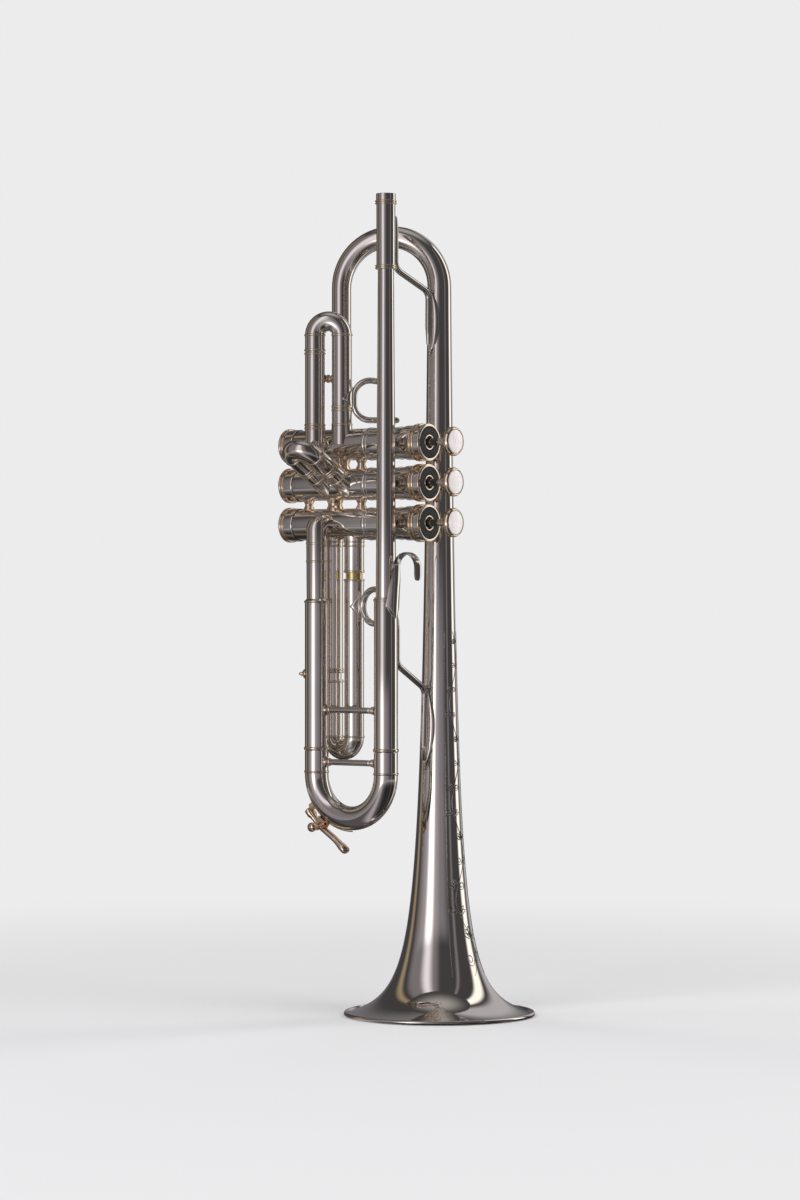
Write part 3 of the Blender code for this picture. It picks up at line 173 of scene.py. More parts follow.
def blended(nodes, links, share, first, second):
    """The first shader where the share is 0 and the second where it is 1."""
    mix = nodes.new("ShaderNodeMixShader")
    links.new(share, mix.inputs[0])
    links.new(first.outputs[0], mix.inputs[1])
    links.new(second.outputs[0], mix.inputs[2])
    return mix.outputs[0]


def floor_material():
    material, nodes, links = blank_material("floor")
    paper = nodes["Principled BSDF"]
    paper.inputs["Base Color"].default_value = PALE
    paper.inputs["Roughness"].default_value = PAPER_ROUGHNESS
    paper.inputs["Specular IOR Level"].default_value = PAPER_SHINE
    glow = nodes.new("ShaderNodeEmission")
    glow.inputs["Color"].default_value = PALE
    fade = fade_outwards(nodes, links, FADE_START, FADE_END)
    share = combined(nodes, links, "MULTIPLY", seen_directly(nodes, links), fade)
    links.new(blended(nodes, links, share, paper, glow), nodes["Material Output"].inputs[0])
    return material


def stage_mesh(name, points, faces, material):
    """A sheet that belongs to the studio, not to the trumpet."""
    mesh = bpy.data.meshes.new(name)
    mesh.from_pydata(points, [], faces)
    mesh.materials.append(material)
    sheet = bpy.data.objects.new(name, mesh)
    scene.collection.objects.link(sheet)
    return sheet


def level_sheet(name, half, height, material):
    """A level square of the studio."""
    corner_points = [(x * half, y * half, height) for x, y in SQUARE]
    return stage_mesh(name, corner_points, [(0, 1, 2, 3)], material)


floor = level_sheet("floor", FLOOR_HALF, 0.0, floor_material())
print(floor.name, "fades from", FADE_START, "to", FADE_END, "m")

# %% [markdown]
# ## Background
# The world behind everything has two brightnesses. The rays above see it at full strength, which
# with a pale colour is nearly white. All other rays see a dimmer room, which fills the shadows
# without flattening them.

# %% Background
ROOM_STRENGTH, SEEN_STRENGTH = 0.5, 1.0
scene.view_settings.view_transform = "Standard"


def studio_world():
    world = bpy.data.worlds.new("studio")
    world.use_nodes = True
    nodes, links = world.node_tree.nodes, world.node_tree.links
    room, seen = nodes["Background"], nodes.new("ShaderNodeBackground")
    for light, strength in ((room, ROOM_STRENGTH), (seen, SEEN_STRENGTH)):
        light.inputs["Color"].default_value = PALE
        light.inputs["Strength"].default_value = strength
    links.new(blended(nodes, links, seen_directly(nodes, links), room, seen), nodes["World Output"].inputs[0])
    return world


scene.world = studio_world()
print("background", scene.world.name)

# %% [markdown]
# ## What the silver mirrors
# Polished silver shows its surroundings more than itself. In a plain pale room it would turn white
# and lose its outline. So a photographer stands dark and bright boards round it. Here their tones
# are listed round the compass, in degrees to the right of the lens: dark most of the way, with soft
# bright stretches. A tube mirrors the board at twice the angle of its own side, so each tube gets
# one broad sheen, one thin bright line and dark edges. A colour ramp turns the compass angle into a
# tone.

# %% Tones round the compass
BLACK, DUSK, SMOKE = (0.0, 0.0, 0.0), (0.045, 0.043, 0.047), (0.13, 0.12, 0.14)
DIM, HAZE, AMBER = (0.16, 0.15, 0.16), (0.36, 0.35, 0.37), (0.27, 0.21, 0.14)
LAVENDER, WHITE = (0.70, 0.67, 0.73), (1.0, 0.98, 0.94)
SCREEN_TONES = (
    (-180.0, DIM), (-150.0, DUSK), (-128.0, DUSK), (-113.0, AMBER), (-100.0, DUSK), (-78.0, DIM),
    (-60.0, DIM), (-36.0, LAVENDER), (-14.0, DIM), (6.0, DUSK), (46.0, DUSK), (54.0, DIM), (62.0, DUSK),
    (93.0, DUSK), (104.0, WHITE), (115.0, WHITE), (127.0, DUSK), (145.0, HAZE), (158.0, HAZE),
    (172.0, DUSK), (180.0, DIM))
WINDOW_TONES = (
    (-180.0, BLACK), (-84.0, BLACK), (-58.0, SMOKE), (-36.0, WHITE), (-17.0, SMOKE), (10.0, SMOKE),
    (44.0, BLACK), (180.0, BLACK))
STAGE_TURN = VIEW_TURN + math.pi


def compass(nodes, links):
    """How far round the stage a place is, from 0 to 1, and how high it is."""
    where = nodes.new("ShaderNodeTexCoord")
    split = nodes.new("ShaderNodeSeparateXYZ")
    links.new(where.outputs["Object"], split.inputs[0])
    angle = combined(nodes, links, "ARCTAN2", split.outputs["X"], split.outputs["Y"])
    return stretched(nodes, links, angle, math.pi, -math.pi).outputs[0], split.outputs["Z"]


def compass_tone(nodes, links, share, tones):
    """The tone at a share of the way round."""
    ramp = nodes.new("ShaderNodeValToRGB")
    ramp.color_ramp.interpolation = "EASE"
    stops = ramp.color_ramp.elements
    places = [0.5 + degrees / 360 for degrees, tone in tones]
    for stop_place in places[1:-1]:
        stops.new(stop_place)
    for stop, (degrees, tone) in zip(stops, tones):
        stop.color = (*tone, 1.0)
    links.new(share, ramp.inputs[0])
    return ramp.outputs[0]


print(len(SCREEN_TONES), "tones round the screen and", len(WINDOW_TONES), "in its window")

# %% [markdown]
# ## Round screen
# The boards are one tall round screen that glows with those tones. A low window in it glows more
# brightly and fades out upwards, so the lower slides and the bell shine more than the bow. Only
# reflections see the screen: it is hidden from the lens and throws no light or shadow.

# %% Round screen
SCREEN_RADIUS, SCREEN_HEIGHT, SCREEN_SIDES = 0.9, 1.6, 96
SCREEN_GLOW = 1.3
WINDOW_TOP, WINDOW_FADE = 0.23, 0.35


def screen_material():
    material, nodes, links = blank_material("screen")
    nodes.remove(nodes["Principled BSDF"])
    share, height = compass(nodes, links)
    window = stretched(nodes, links, height, WINDOW_FADE, WINDOW_TOP, "SMOOTHSTEP")
    both = nodes.new("ShaderNodeMix")
    both.data_type = "RGBA"
    both.blend_type = "ADD"
    glow = nodes.new("ShaderNodeEmission")
    glow.inputs["Strength"].default_value = SCREEN_GLOW
    links.new(window.outputs[0], both.inputs["Factor"])
    links.new(compass_tone(nodes, links, share, SCREEN_TONES), both.inputs["A"])
    links.new(compass_tone(nodes, links, share, WINDOW_TONES), both.inputs["B"])
    links.new(both.outputs["Result"], glow.inputs["Color"])
    links.new(glow.outputs[0], nodes["Material Output"].inputs[0])
    return material


def hidden_from_lens(sheet):
    """Leaves a sheet in reflections alone."""
    sheet.visible_camera = False
    sheet.visible_diffuse = False
    sheet.visible_transmission = False
    sheet.visible_shadow = False
    return sheet


def heading(turn):
    """A level direction, turned so far from the x axis."""
    return Vector((math.cos(turn), math.sin(turn), 0.0))


def make_screen():
    points, faces = [], []
    for number in range(SCREEN_SIDES):
        foot = heading(2 * math.pi * number / SCREEN_SIDES) * SCREEN_RADIUS
        points += [foot, foot + Z_AXIS * SCREEN_HEIGHT]
        after = (number + 1) % SCREEN_SIDES
        faces.append((2 * number, 2 * after, 2 * after + 1, 2 * number + 1))
    screen = stage_mesh("screen", points, faces, screen_material())
    screen.rotation_euler.z = STAGE_TURN
    return hidden_from_lens(screen)


print(make_screen().name, "of", SCREEN_SIDES, "sides")

# %% [markdown]
# ## Ceiling, roof and mat
# Surfaces that tilt mirror what is above or below them. A soft grey ceiling gives the bow and the
# crooks a sheen, and a dark roof behind it keeps the bright background out. On the floor lies a mat
# with the screen's own tones, dimmer, so that the tubes keep their stripes when they are looked at
# from above. All three are level sheets that fade out to clear, and only reflections see them.

# %% Ceiling, roof and mat
CEILING_TONE, ROOF_TONE = (0.40, 0.39, 0.40), (0.06, 0.058, 0.06)
CEILING_START, CEILING_END = 0.1, 0.85
MAT_GLOW = 0.6
MAT_START, MAT_END = 0.35, 1.5
SHEET_GAP = 0.4 * MM


def mirrored_sheet(name, half, height, start, end):
    """A level sheet that fades out to clear, and the node that makes it glow."""
    material, nodes, links = blank_material(name)
    nodes.remove(nodes["Principled BSDF"])
    glow, clear = nodes.new("ShaderNodeEmission"), nodes.new("ShaderNodeBsdfTransparent")
    fade = fade_outwards(nodes, links, start, end)
    links.new(blended(nodes, links, fade, glow, clear), nodes["Material Output"].inputs[0])
    return hidden_from_lens(level_sheet(name, half, height, material)), glow


def make_ceiling():
    ceiling, glow = mirrored_sheet("ceiling", CEILING_END, SCREEN_HEIGHT, CEILING_START, CEILING_END)
    glow.inputs["Color"].default_value = (*CEILING_TONE, 1.0)
    return ceiling


def make_roof():
    height = SCREEN_HEIGHT + SHEET_GAP
    roof, glow = mirrored_sheet("roof", SCREEN_RADIUS, height, SCREEN_RADIUS, 2 * SCREEN_RADIUS)
    glow.inputs["Color"].default_value = (*ROOF_TONE, 1.0)
    return roof


def make_mat():
    mat, glow = mirrored_sheet("mat", MAT_END, SHEET_GAP, MAT_START, MAT_END)
    nodes, links = mat.active_material.node_tree.nodes, mat.active_material.node_tree.links
    share = compass(nodes, links)[0]
    glow.inputs["Strength"].default_value = MAT_GLOW
    links.new(compass_tone(nodes, links, share, SCREEN_TONES), glow.inputs["Color"])
    mat.rotation_euler.z = STAGE_TURN
    return mat


print(make_ceiling().name, make_roof().name, make_mat().name)

# %% [markdown]
# ## Lamps
# Five soft boxes light the floor, the felt, the shell and the cork. The metal doesn't mirror them,
# because the screen already gives it their soft bright stretches without hard edges. Each lamp is
# listed with its degrees to the right of the lens and upwards, its distance, its size, its power
# and its colour.

# %% Lamps
LAMPS = (
    ("window_box", -38.0, 30.0, 1.9, (0.9, 1.3), 10.5, (0.97, 0.96, 1.0)),
    ("edge_box", 118.0, 22.0, 1.8, (0.5, 1.4), 7.0, (1.0, 0.98, 0.95)),
    ("back_box", -130.0, 24.0, 1.8, (0.5, 1.4), 6.0, (1.0, 0.96, 0.90)),
    ("button_box", 56.0, 26.0, 1.8, (0.9, 1.2), 7.0, (1.0, 0.98, 0.97)),
    ("top_box", 20.0, 78.0, 1.7, (1.0, 1.0), 6.8, (1.0, 1.0, 1.0)),
)


def make_lamp(name, side, lift, distance, size, power, colour):
    lamp_data = bpy.data.lights.new(name, "AREA")
    lamp_data.shape = "RECTANGLE"
    lamp_data.size, lamp_data.size_y = size
    lamp_data.energy = power
    lamp_data.color = colour
    lamp = bpy.data.objects.new(name, lamp_data)
    scene.collection.objects.link(lamp)
    turn, climb = VIEW_TURN + math.radians(side), math.radians(lift)
    way = Vector((math.sin(turn) * math.cos(climb), -math.cos(turn) * math.cos(climb), math.sin(climb)))
    lamp.location = way * distance + Z_AXIS * VIEW_HEIGHT
    lamp.rotation_euler = (-way).to_track_quat("-Z", "Y").to_euler()
    lamp.visible_glossy = False
    return lamp


print([make_lamp(*lamp).name for lamp in LAMPS])

# %% [markdown]
# ## Handled metal
# Plated brass is never one even colour: breath and fingers leave faint cloudy patches, polishing
# leaves hair-fine scratches, and the plate warms where it is thin. These three effects are shared
# by all the metals, so they live in one node group. It puts out a colour, a roughness and a height,
# and each finish feeds them to its own shader.

# %% Node group for handled metal
METAL_INPUTS = (
    ("Bright", "NodeSocketColor", (0.8, 0.8, 0.8, 1.0)),
    ("Tarnished", "NodeSocketColor", (0.6, 0.5, 0.4, 1.0)),
    ("Tarnish", "NodeSocketFloat", 0.3),
    ("Gloss Low", "NodeSocketFloat", 0.05),
    ("Gloss High", "NodeSocketFloat", 0.15))
METAL_OUTPUTS = (
    ("Color", "NodeSocketColor"),
    ("Roughness", "NodeSocketFloat"),
    ("Height", "NodeSocketFloat"))
CLOUD_SCALE, CLOUD_DETAIL, CLOUD_LOW, CLOUD_HIGH = 38.0, 5.0, 0.45, 0.75
SMEAR_SCALE, SMEAR_DETAIL, SMEAR_LOW, SMEAR_HIGH = 120.0, 6.0, 0.3, 0.72
HAIR_SCALE, HAIR_DETAIL, HAIR_STRETCH = 4.0, 3.0, (900.0, 900.0, 60.0)


def noise(nodes, links, where, scale, detail, distortion=0.0):
    """A solid noise, read at a place."""
    texture = nodes.new("ShaderNodeTexNoise")
    texture.inputs["Scale"].default_value = scale
    texture.inputs["Detail"].default_value = detail
    texture.inputs["Distortion"].default_value = distortion
    links.new(where, texture.inputs["Vector"])
    return texture.outputs[0]


def handled_metal_group():
    group = bpy.data.node_groups.new("handled_metal", "ShaderNodeTree")
    for name, kind, value in METAL_INPUTS:
        group.interface.new_socket(name=name, in_out="INPUT", socket_type=kind).default_value = value
    for name, kind in METAL_OUTPUTS:
        group.interface.new_socket(name=name, in_out="OUTPUT", socket_type=kind)
    nodes, links = group.nodes, group.links
    inputs, outputs = nodes.new("NodeGroupInput"), nodes.new("NodeGroupOutput")
    where = nodes.new("ShaderNodeTexCoord").outputs["Object"]
    cloud = noise(nodes, links, where, CLOUD_SCALE, CLOUD_DETAIL)
    patch = stretched(nodes, links, cloud, CLOUD_LOW, CLOUD_HIGH).outputs[0]
    blend = nodes.new("ShaderNodeMix")
    blend.data_type = "RGBA"
    tarnish = combined(nodes, links, "MULTIPLY", patch, inputs.outputs["Tarnish"])
    links.new(tarnish, blend.inputs["Factor"])
    links.new(inputs.outputs["Bright"], blend.inputs["A"])
    links.new(inputs.outputs["Tarnished"], blend.inputs["B"])
    links.new(blend.outputs["Result"], outputs.inputs["Color"])
    smear = noise(nodes, links, where, SMEAR_SCALE, SMEAR_DETAIL)
    gloss = stretched(nodes, links, smear, SMEAR_LOW, SMEAR_HIGH)
    links.new(inputs.outputs["Gloss Low"], gloss.inputs["To Min"])
    links.new(inputs.outputs["Gloss High"], gloss.inputs["To Max"])
    links.new(gloss.outputs[0], outputs.inputs["Roughness"])
    drawn_out = nodes.new("ShaderNodeMapping")
    drawn_out.inputs["Scale"].default_value = HAIR_STRETCH
    links.new(where, drawn_out.inputs["Vector"])
    hair = noise(nodes, links, drawn_out.outputs[0], HAIR_SCALE, HAIR_DETAIL)
    links.new(hair, outputs.inputs["Height"])
    return group


HANDLED_METAL = handled_metal_group()
print(HANDLED_METAL.name, "with", len(METAL_INPUTS), "inputs")

# %% [markdown]
# ## Plate, trim, brass and steel
# The body is silver plate. The buttons, the cap ridges and the water key are trimmed in rose gold,
# and the rings on the slides are paler. The third slide's stem and the water key's spring are bare
# brass, and the pistons and their springs are steel. The engraved cuts are a dull, dark silver.
# Each finish is the same group with its own two colours, its share of tarnish, its range of gloss
# and the strength of its scratches.

# %% Metals
SCRATCH_DEPTH = 0.02 * MM


def metal(name, bright, tarnished, tarnish, gloss, scratch):
    """A plated or bare metal: the group gives what changes over the surface, the shader the rest."""
    material, nodes, links = blank_material(name)
    shader = nodes["Principled BSDF"]
    shader.inputs["Metallic"].default_value = 1.0
    handled = nodes.new("ShaderNodeGroup")
    handled.node_tree = HANDLED_METAL
    handled.inputs["Bright"].default_value = (*bright, 1.0)
    handled.inputs["Tarnished"].default_value = (*tarnished, 1.0)
    handled.inputs["Tarnish"].default_value = tarnish
    handled.inputs["Gloss Low"].default_value = gloss[0]
    handled.inputs["Gloss High"].default_value = gloss[1]
    bump = nodes.new("ShaderNodeBump")
    bump.inputs["Strength"].default_value = scratch
    bump.inputs["Distance"].default_value = SCRATCH_DEPTH
    links.new(handled.outputs["Color"], shader.inputs["Base Color"])
    links.new(handled.outputs["Roughness"], shader.inputs["Roughness"])
    links.new(handled.outputs["Height"], bump.inputs["Height"])
    links.new(bump.outputs[0], shader.inputs["Normal"])
    return material


SILVER = metal("silver_plate", (0.86, 0.81, 0.75), (0.73, 0.62, 0.49), 0.35, (0.035, 0.10), 0.07)
GOLD = metal("rose_gold_trim", (0.91, 0.73, 0.55), (0.70, 0.50, 0.34), 0.45, (0.07, 0.16), 0.10)
CHAMPAGNE = metal("champagne_ring", (0.88, 0.77, 0.62), (0.66, 0.53, 0.36), 0.45, (0.07, 0.16), 0.10)
BRASS = metal("bare_brass", (0.85, 0.66, 0.30), (0.62, 0.43, 0.18), 0.7, (0.16, 0.32), 0.4)
STEEL = metal("spring_steel", (0.58, 0.58, 0.60), (0.42, 0.40, 0.38), 0.5, (0.22, 0.4), 0.4)
ENGRAVED = metal("engraved_cut", (0.50, 0.47, 0.45), (0.28, 0.24, 0.21), 0.9, (0.28, 0.5), 0.5)
print("metals", [made.name for made in (SILVER, GOLD, CHAMPAGNE, BRASS, STEEL, ENGRAVED)])

# %% [markdown]
# ## Pearl, felt and cork
# The button tops are slices of shell, with cloudy bands that lie in waves. The felt is a mat of
# short black fibres, and the cork is a brown cell mass with dark specks. All three are solid noises
# read in the object's own space, so they need no unwrapping.

# %% Shell, felt and cork
GRAIN_DETAIL, GRAIN_LOW, GRAIN_HIGH, GRAIN_STRENGTH = 6.0, 0.35, 0.68, 0.6
SHELL_COAT, FELT_SHEEN = 0.6, 0.25


def grained(name, low, high, scale, roughness, height, distortion=0.0):
    """A material whose colour wanders between two tones with a noise, which also lifts the surface."""
    material, nodes, links = blank_material(name)
    shader = nodes["Principled BSDF"]
    shader.inputs["Roughness"].default_value = roughness
    where = nodes.new("ShaderNodeTexCoord").outputs["Object"]
    grain = noise(nodes, links, where, scale, GRAIN_DETAIL, distortion)
    tones = nodes.new("ShaderNodeValToRGB")
    for stop, share, tone in zip(tones.color_ramp.elements, (GRAIN_LOW, GRAIN_HIGH), (low, high)):
        stop.position = share
        stop.color = (*tone, 1.0)
    bump = nodes.new("ShaderNodeBump")
    bump.inputs["Strength"].default_value = GRAIN_STRENGTH
    bump.inputs["Distance"].default_value = height
    links.new(grain, tones.inputs[0])
    links.new(grain, bump.inputs["Height"])
    links.new(tones.outputs[0], shader.inputs["Base Color"])
    links.new(bump.outputs[0], shader.inputs["Normal"])
    return material


PEARL = grained("shell_inlay", (0.84, 0.78, 0.76), (0.98, 0.95, 0.94), 150.0, 0.14, 0.02 * MM, 2.5)
PEARL.node_tree.nodes["Principled BSDF"].inputs["Coat Weight"].default_value = SHELL_COAT
FELT = grained("black_felt", (0.008, 0.008, 0.009), (0.030, 0.030, 0.033), 2600.0, 0.95, 0.2 * MM)
FELT.node_tree.nodes["Principled BSDF"].inputs["Sheen Weight"].default_value = FELT_SHEEN
CORK = grained("cork", (0.25, 0.14, 0.07), (0.60, 0.42, 0.25), 1500.0, 0.9, 0.15 * MM)
print("soft finishes", [made.name for made in (PEARL, FELT, CORK)])

# %% [markdown]
# ## The places that everything else is measured from
# The frame already knows where each tube and valve lies. Reading the places from it keeps the looks
# and the working model together, even if a size in the model changes. The side slides all have one
# size of tube, and the main slide a larger one, each with a smaller tube that runs inside it.

# %% Axes of the tubes and valves
MAIN_RADIUS, MAIN_INNER = 7.3 * MM, 6.4 * MM
SIDE_RADIUS, SIDE_INNER = 6.1 * MM, 5.2 * MM
TUBE_WALL = 0.8 * MM


def corners(node):
    low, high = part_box(node)
    return Vector(low), Vector(high)


def middle_of(node):
    low, high = corners(node)
    return (low + high) / 2


VALVES = [middle_of(f"valve_casing_{number}") for number in (1, 2, 3)]
CASING_LOW, CASING_HIGH = corners("valve_casing_1")
CASING_RADIUS = (CASING_HIGH.z - CASING_LOW.z) / 2
STEM_AXIS = middle_of("bell_stem")
PIPE_AXIS = middle_of("leadpipe")
print("valve heights (mm)", [round(valve.z / MM, 1) for valve in VALVES])

# %% [markdown]
# ## Centre lines
# Nearly everything on a trumpet is either a bent tube or a turned ring. A tube follows a line of
# straight runs and round bends, as it leaves the bender's hands. The line is worked out from its
# corner points and one bend radius, and it can say where any distance along it lies and which way
# it runs there. A Blender curve could be bevelled instead, but its ends couldn't be shaped to the
# valves.

# %% Centre lines
BEND_STEP = math.radians(5.0)
TINY = 1e-7


class Line:
    """A centre line of straight runs joined by round bends."""

    def __init__(self, points, bend=0.0):
        self.runs, self.stops, self.length = [], [0.0], 0.0
        here = Vector(points[0])
        for corner, after in zip(points[1:-1], points[2:]):
            corner, after = Vector(corner), Vector(after)
            way_in, way_out = (corner - here).normalized(), (after - corner).normalized()
            angle = way_in.angle(way_out)
            setback = bend * math.tan(angle / 2)
            self.add(here, way_in, (corner - here).length - setback)
            axis = way_in.cross(way_out).normalized()
            self.add(corner - way_in * setback, way_in, bend * angle, axis, bend)
            here = corner + way_out * setback
        last = Vector(points[-1])
        self.add(here, (last - here).normalized(), (last - here).length)

    def add(self, start, way, length, axis=None, bend=0.0):
        if length < TINY:
            return
        self.runs.append((self.length, start, way, axis, bend))
        steps = max(2, round(length / bend / BEND_STEP)) if axis else 1
        self.stops += [self.length + length * step / steps for step in range(1, steps + 1)]
        self.length += length

    def at(self, distance):
        begin, start, way, axis, bend = [run for run in self.runs if run[0] <= distance + TINY][-1]
        if axis is None:
            return start + way * (distance - begin), way
        turn = Quaternion(axis, (distance - begin) / bend)
        inward = axis.cross(way) * bend
        return start + inward - turn @ inward, turn @ way


print("a bend takes a step every", round(math.degrees(BEND_STEP)), "degrees")

# %% [markdown]
# ## Skins
# A skin is a row of rings along a centre line, joined by faces. The radius is given at marks along
# the way and runs evenly between them, which makes tapers, steps and flares alike. Each ring starts
# from the side that the one before it had, so the faces don't twist in the bends.

# %% Skins
STEEP = 0.7


def circle(bm, middle, way, side, radius, sides):
    across = way.cross(side)
    ring = []
    for number in range(sides):
        turn = 2 * math.pi * number / sides
        out = side * math.cos(turn) + across * math.sin(turn)
        ring.append(bm.verts.new(middle + out * radius))
    return ring


def bridge(bm, near, far, finish):
    """A belt of faces between two rings."""
    count = len(near)
    for number in range(count):
        after = (number + 1) % count
        face = bm.faces.new((near[number], near[after], far[after], far[number]))
        face.material_index = finish


def side_of(way):
    """A direction square to the given one."""
    axis = Z_AXIS if abs(way.z) < STEEP else X_AXIS
    return (axis - way * axis.dot(way)).normalized()


def skin(bm, line, marks, sides, finish):
    """Rings along a line at the marks and at the bends' stops, joined by faces."""
    stations = list(marks)
    for (near, near_radius), (far, far_radius) in zip(marks, marks[1:]):
        for stop in line.stops:
            if near + TINY < stop < far - TINY:
                share = (stop - near) / (far - near)
                stations.append((stop, near_radius + share * (far_radius - near_radius)))
    rings, before, side = [], None, None
    for distance, radius in sorted(stations, key=lambda station: station[0]):
        middle, way = line.at(distance)
        side = side_of(way) if before is None else before.rotation_difference(way) @ side
        rings.append(circle(bm, middle, way, side, radius, sides))
        before = way
    for near, far in zip(rings, rings[1:]):
        bridge(bm, near, far, finish)
    return rings


print("side of an upright line", tuple(side_of(Z_AXIS)))

# %% [markdown]
# ## Tubes and wires
# A tube has an outer and an inner skin, joined at its ends. Where it meets a valve, a fitter files
# its end to the round casing before it is soldered. So each point of that end is moved along the
# tube until it meets the casing, a little under its surface. A wire is one skin, closed at both
# ends.

# %% Tubes and wires
TUBE_SIDES, WIRE_SIDES = 48, 24
SOLDER_SINK = 0.15 * MM


def to_casing(point, way, valve):
    """Where a line that runs along way meets the outside of a valve's casing."""
    off = point - VALVES[valve]
    reach = CASING_RADIUS - SOLDER_SINK
    square = way.y ** 2 + way.z ** 2
    slope = off.y * way.y + off.z * way.z
    rest = off.y ** 2 + off.z ** 2 - reach ** 2
    travel = (-slope - math.sqrt(max(0.0, slope ** 2 - square * rest))) / square
    return point + way * travel


def tube(bm, line, marks, wall, finish=0, sides=TUBE_SIDES, seats=(None, None)):
    """A hollow tube. seats names the valve that each end is shaped to, or None for a square end."""
    outside = skin(bm, line, marks, sides, finish)
    inside = skin(bm, line, [(distance, radius - wall) for distance, radius in marks], sides, finish)
    for end, seat in zip((0, -1), seats):
        if seat is not None:
            way = line.at(0.0)[1] * -1 if end == 0 else line.at(line.length)[1]
            for point in outside[end] + inside[end]:
                point.co = to_casing(point.co, way, seat)
        bridge(bm, outside[end], inside[end], finish)


def capped(bm, rings):
    """Closes both ends of a skin."""
    for ring in (rings[0], rings[-1]):
        bm.faces.new(ring)


def wire(bm, line, marks, sides=WIRE_SIDES):
    """A solid wire with flat ends."""
    capped(bm, skin(bm, line, marks, sides, 0))


print("tubes have", TUBE_SIDES, "sides and wires", WIRE_SIDES)

# %% [markdown]
# ## Turned pieces and rings
# Caps, buttons, rings and braces come off a lathe. Each is a profile spun round an axis. A lathe
# tool leaves no knife edge, so a profile's corners are eased with short curves, and the edges then
# catch the light. The rings on the slides are half-round wires, spun the same way.

# %% Turned pieces and rings
TURNED_SIDES = 72
EASE_STEPS, EASE_SHARE = 4, 0.45
BAND_STEPS = 8


def eased(profile, radius, closed):
    """Rounds a profile's corners with short curves."""
    count = len(profile)
    points = [Vector(point) for point in profile]
    rounded = []
    for number, corner in enumerate(points):
        if not closed and number in (0, count - 1):
            rounded.append(tuple(corner))
            continue
        back, on = points[number - 1] - corner, points[(number + 1) % count] - corner
        start = corner + back.normalized() * min(radius, back.length * EASE_SHARE)
        end = corner + on.normalized() * min(radius, on.length * EASE_SHARE)
        for step in range(EASE_STEPS + 1):
            share = step / EASE_STEPS
            pull = 2 * share * (1 - share)
            rounded.append(tuple(start * (1 - share) ** 2 + corner * pull + end * share ** 2))
    return rounded


def turned(bm, middle, axis, profile, finish=0, soften=0.0, sides=TURNED_SIDES):
    """A turned piece: profile lists (height along the axis, radius), closed unless it meets the axis."""
    closed = profile[0][1] > TINY and profile[-1][1] > TINY
    if soften:
        profile = eased(profile, soften, closed)
    side = side_of(axis)
    rings = []
    for height, radius in profile:
        point = middle + axis * height
        rings.append(circle(bm, point, axis, side, radius, sides) if radius > TINY else [bm.verts.new(point)])
    pairs = list(zip(rings, rings[1:]))
    if closed:
        pairs.append((rings[-1], rings[0]))
    for near, far in pairs:
        if len(near) == len(far):
            bridge(bm, near, far, finish)
            continue
        tip, rim = (near[0], far) if len(near) == 1 else (far[0], near)
        for number, point in enumerate(rim):
            bm.faces.new((tip, point, rim[(number + 1) % sides])).material_index = finish


def above(axis, height):
    """The point on an upright axis at a height."""
    return Vector((axis.x, axis.y, height))


def band(bm, middle, axis, radius, finish=1, width=1.4 * MM, proud=0.5 * MM, sides=TUBE_SIDES):
    """A half-round wire soldered round a tube."""
    profile = []
    for step in range(BAND_STEPS + 1):
        turn = math.pi * step / BAND_STEPS
        profile.append((-math.cos(turn) * width / 2, radius + math.sin(turn) * proud))
    profile += [(width / 2, radius - proud), (-width / 2, radius - proud)]
    turned(bm, middle, axis, profile, finish, 0.0, sides)


def ringed(bm, axis, radius, heights, **size):
    """Bands round an upright tube at the given heights."""
    for height in heights:
        band(bm, above(axis, height), Z_AXIS, radius, **size)


print("turned pieces have", TURNED_SIDES, "sides")

# %% [markdown]
# ## From mesh to piece
# Every piece ends in the same way: its faces are turned outwards, its smooth parts are shaded
# smooth and its edges kept sharp, and it gets its finishes. Then it is hung on the body it rides on,
# and the pieces of the imported model that it stands for are hidden.

# %% Placing a piece
SHARP_ANGLE = math.radians(40.0)


def place(bm, name, body, finishes, nodes):
    """Turns a bmesh into a named piece that rides on a body and stands for CAD nodes."""
    bmesh.ops.recalc_face_normals(bm, faces=bm.faces[:])
    mesh = bpy.data.meshes.new(name)
    bm.to_mesh(mesh)
    bm.free()
    mesh.shade_smooth()
    mesh.set_sharp_from_angle(angle=SHARP_ANGLE)
    for finish in finishes:
        mesh.materials.append(finish)
    piece = bpy.data.objects.new(name, mesh)
    scene.collection.objects.link(piece)
    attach(piece, body)
    if nodes:
        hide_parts(*nodes)
    return piece


# %% [markdown]
# ## The bell
# A bell is spun from sheet over a mandrel: its radius grows slowly along the stem and then very
# fast, and its edge is rolled round a wire. One formula gives the whole flare, with closer steps
# where it turns fastest. Spinning a profile keeps the skin smooth, which polished metal needs.

# %% Bell
BELL_LOW, BELL_HIGH = corners("bell_flare")
BELL_RADIUS = (BELL_HIGH.x - BELL_LOW.x) / 2
FLARE_HEIGHT, FLARE_STEPS = 7.1 * MM, 90
SHEET_LIFT = 1.2 * MM
BEAD_RADIUS, BEAD_STEPS, BEAD_TUCK = 1.4 * MM, 18, 1.6
BEAD_START, BEAD_SWEEP = math.radians(115.0), math.radians(330.0)
BELL_WALL = 0.6 * MM
BELL_SIDES = 160
STEM_TOP = corners("bell_stem")[1].z


def bell_radius(height):
    return BELL_RADIUS * math.sqrt(FLARE_HEIGHT / (height - SHEET_LIFT + FLARE_HEIGHT))


def flare_height(radius):
    return FLARE_HEIGHT * ((BELL_RADIUS / radius) ** 2 - 1) + SHEET_LIFT


def flare_outside():
    """The sheet's outside, from the bead up to the stem."""
    edge = BELL_RADIUS - BEAD_TUCK * BEAD_RADIUS
    shrink = bell_radius(STEM_TOP) / edge
    radii = [edge * shrink ** (step / FLARE_STEPS) for step in range(FLARE_STEPS + 1)]
    return [(flare_height(radius), radius) for radius in radii]


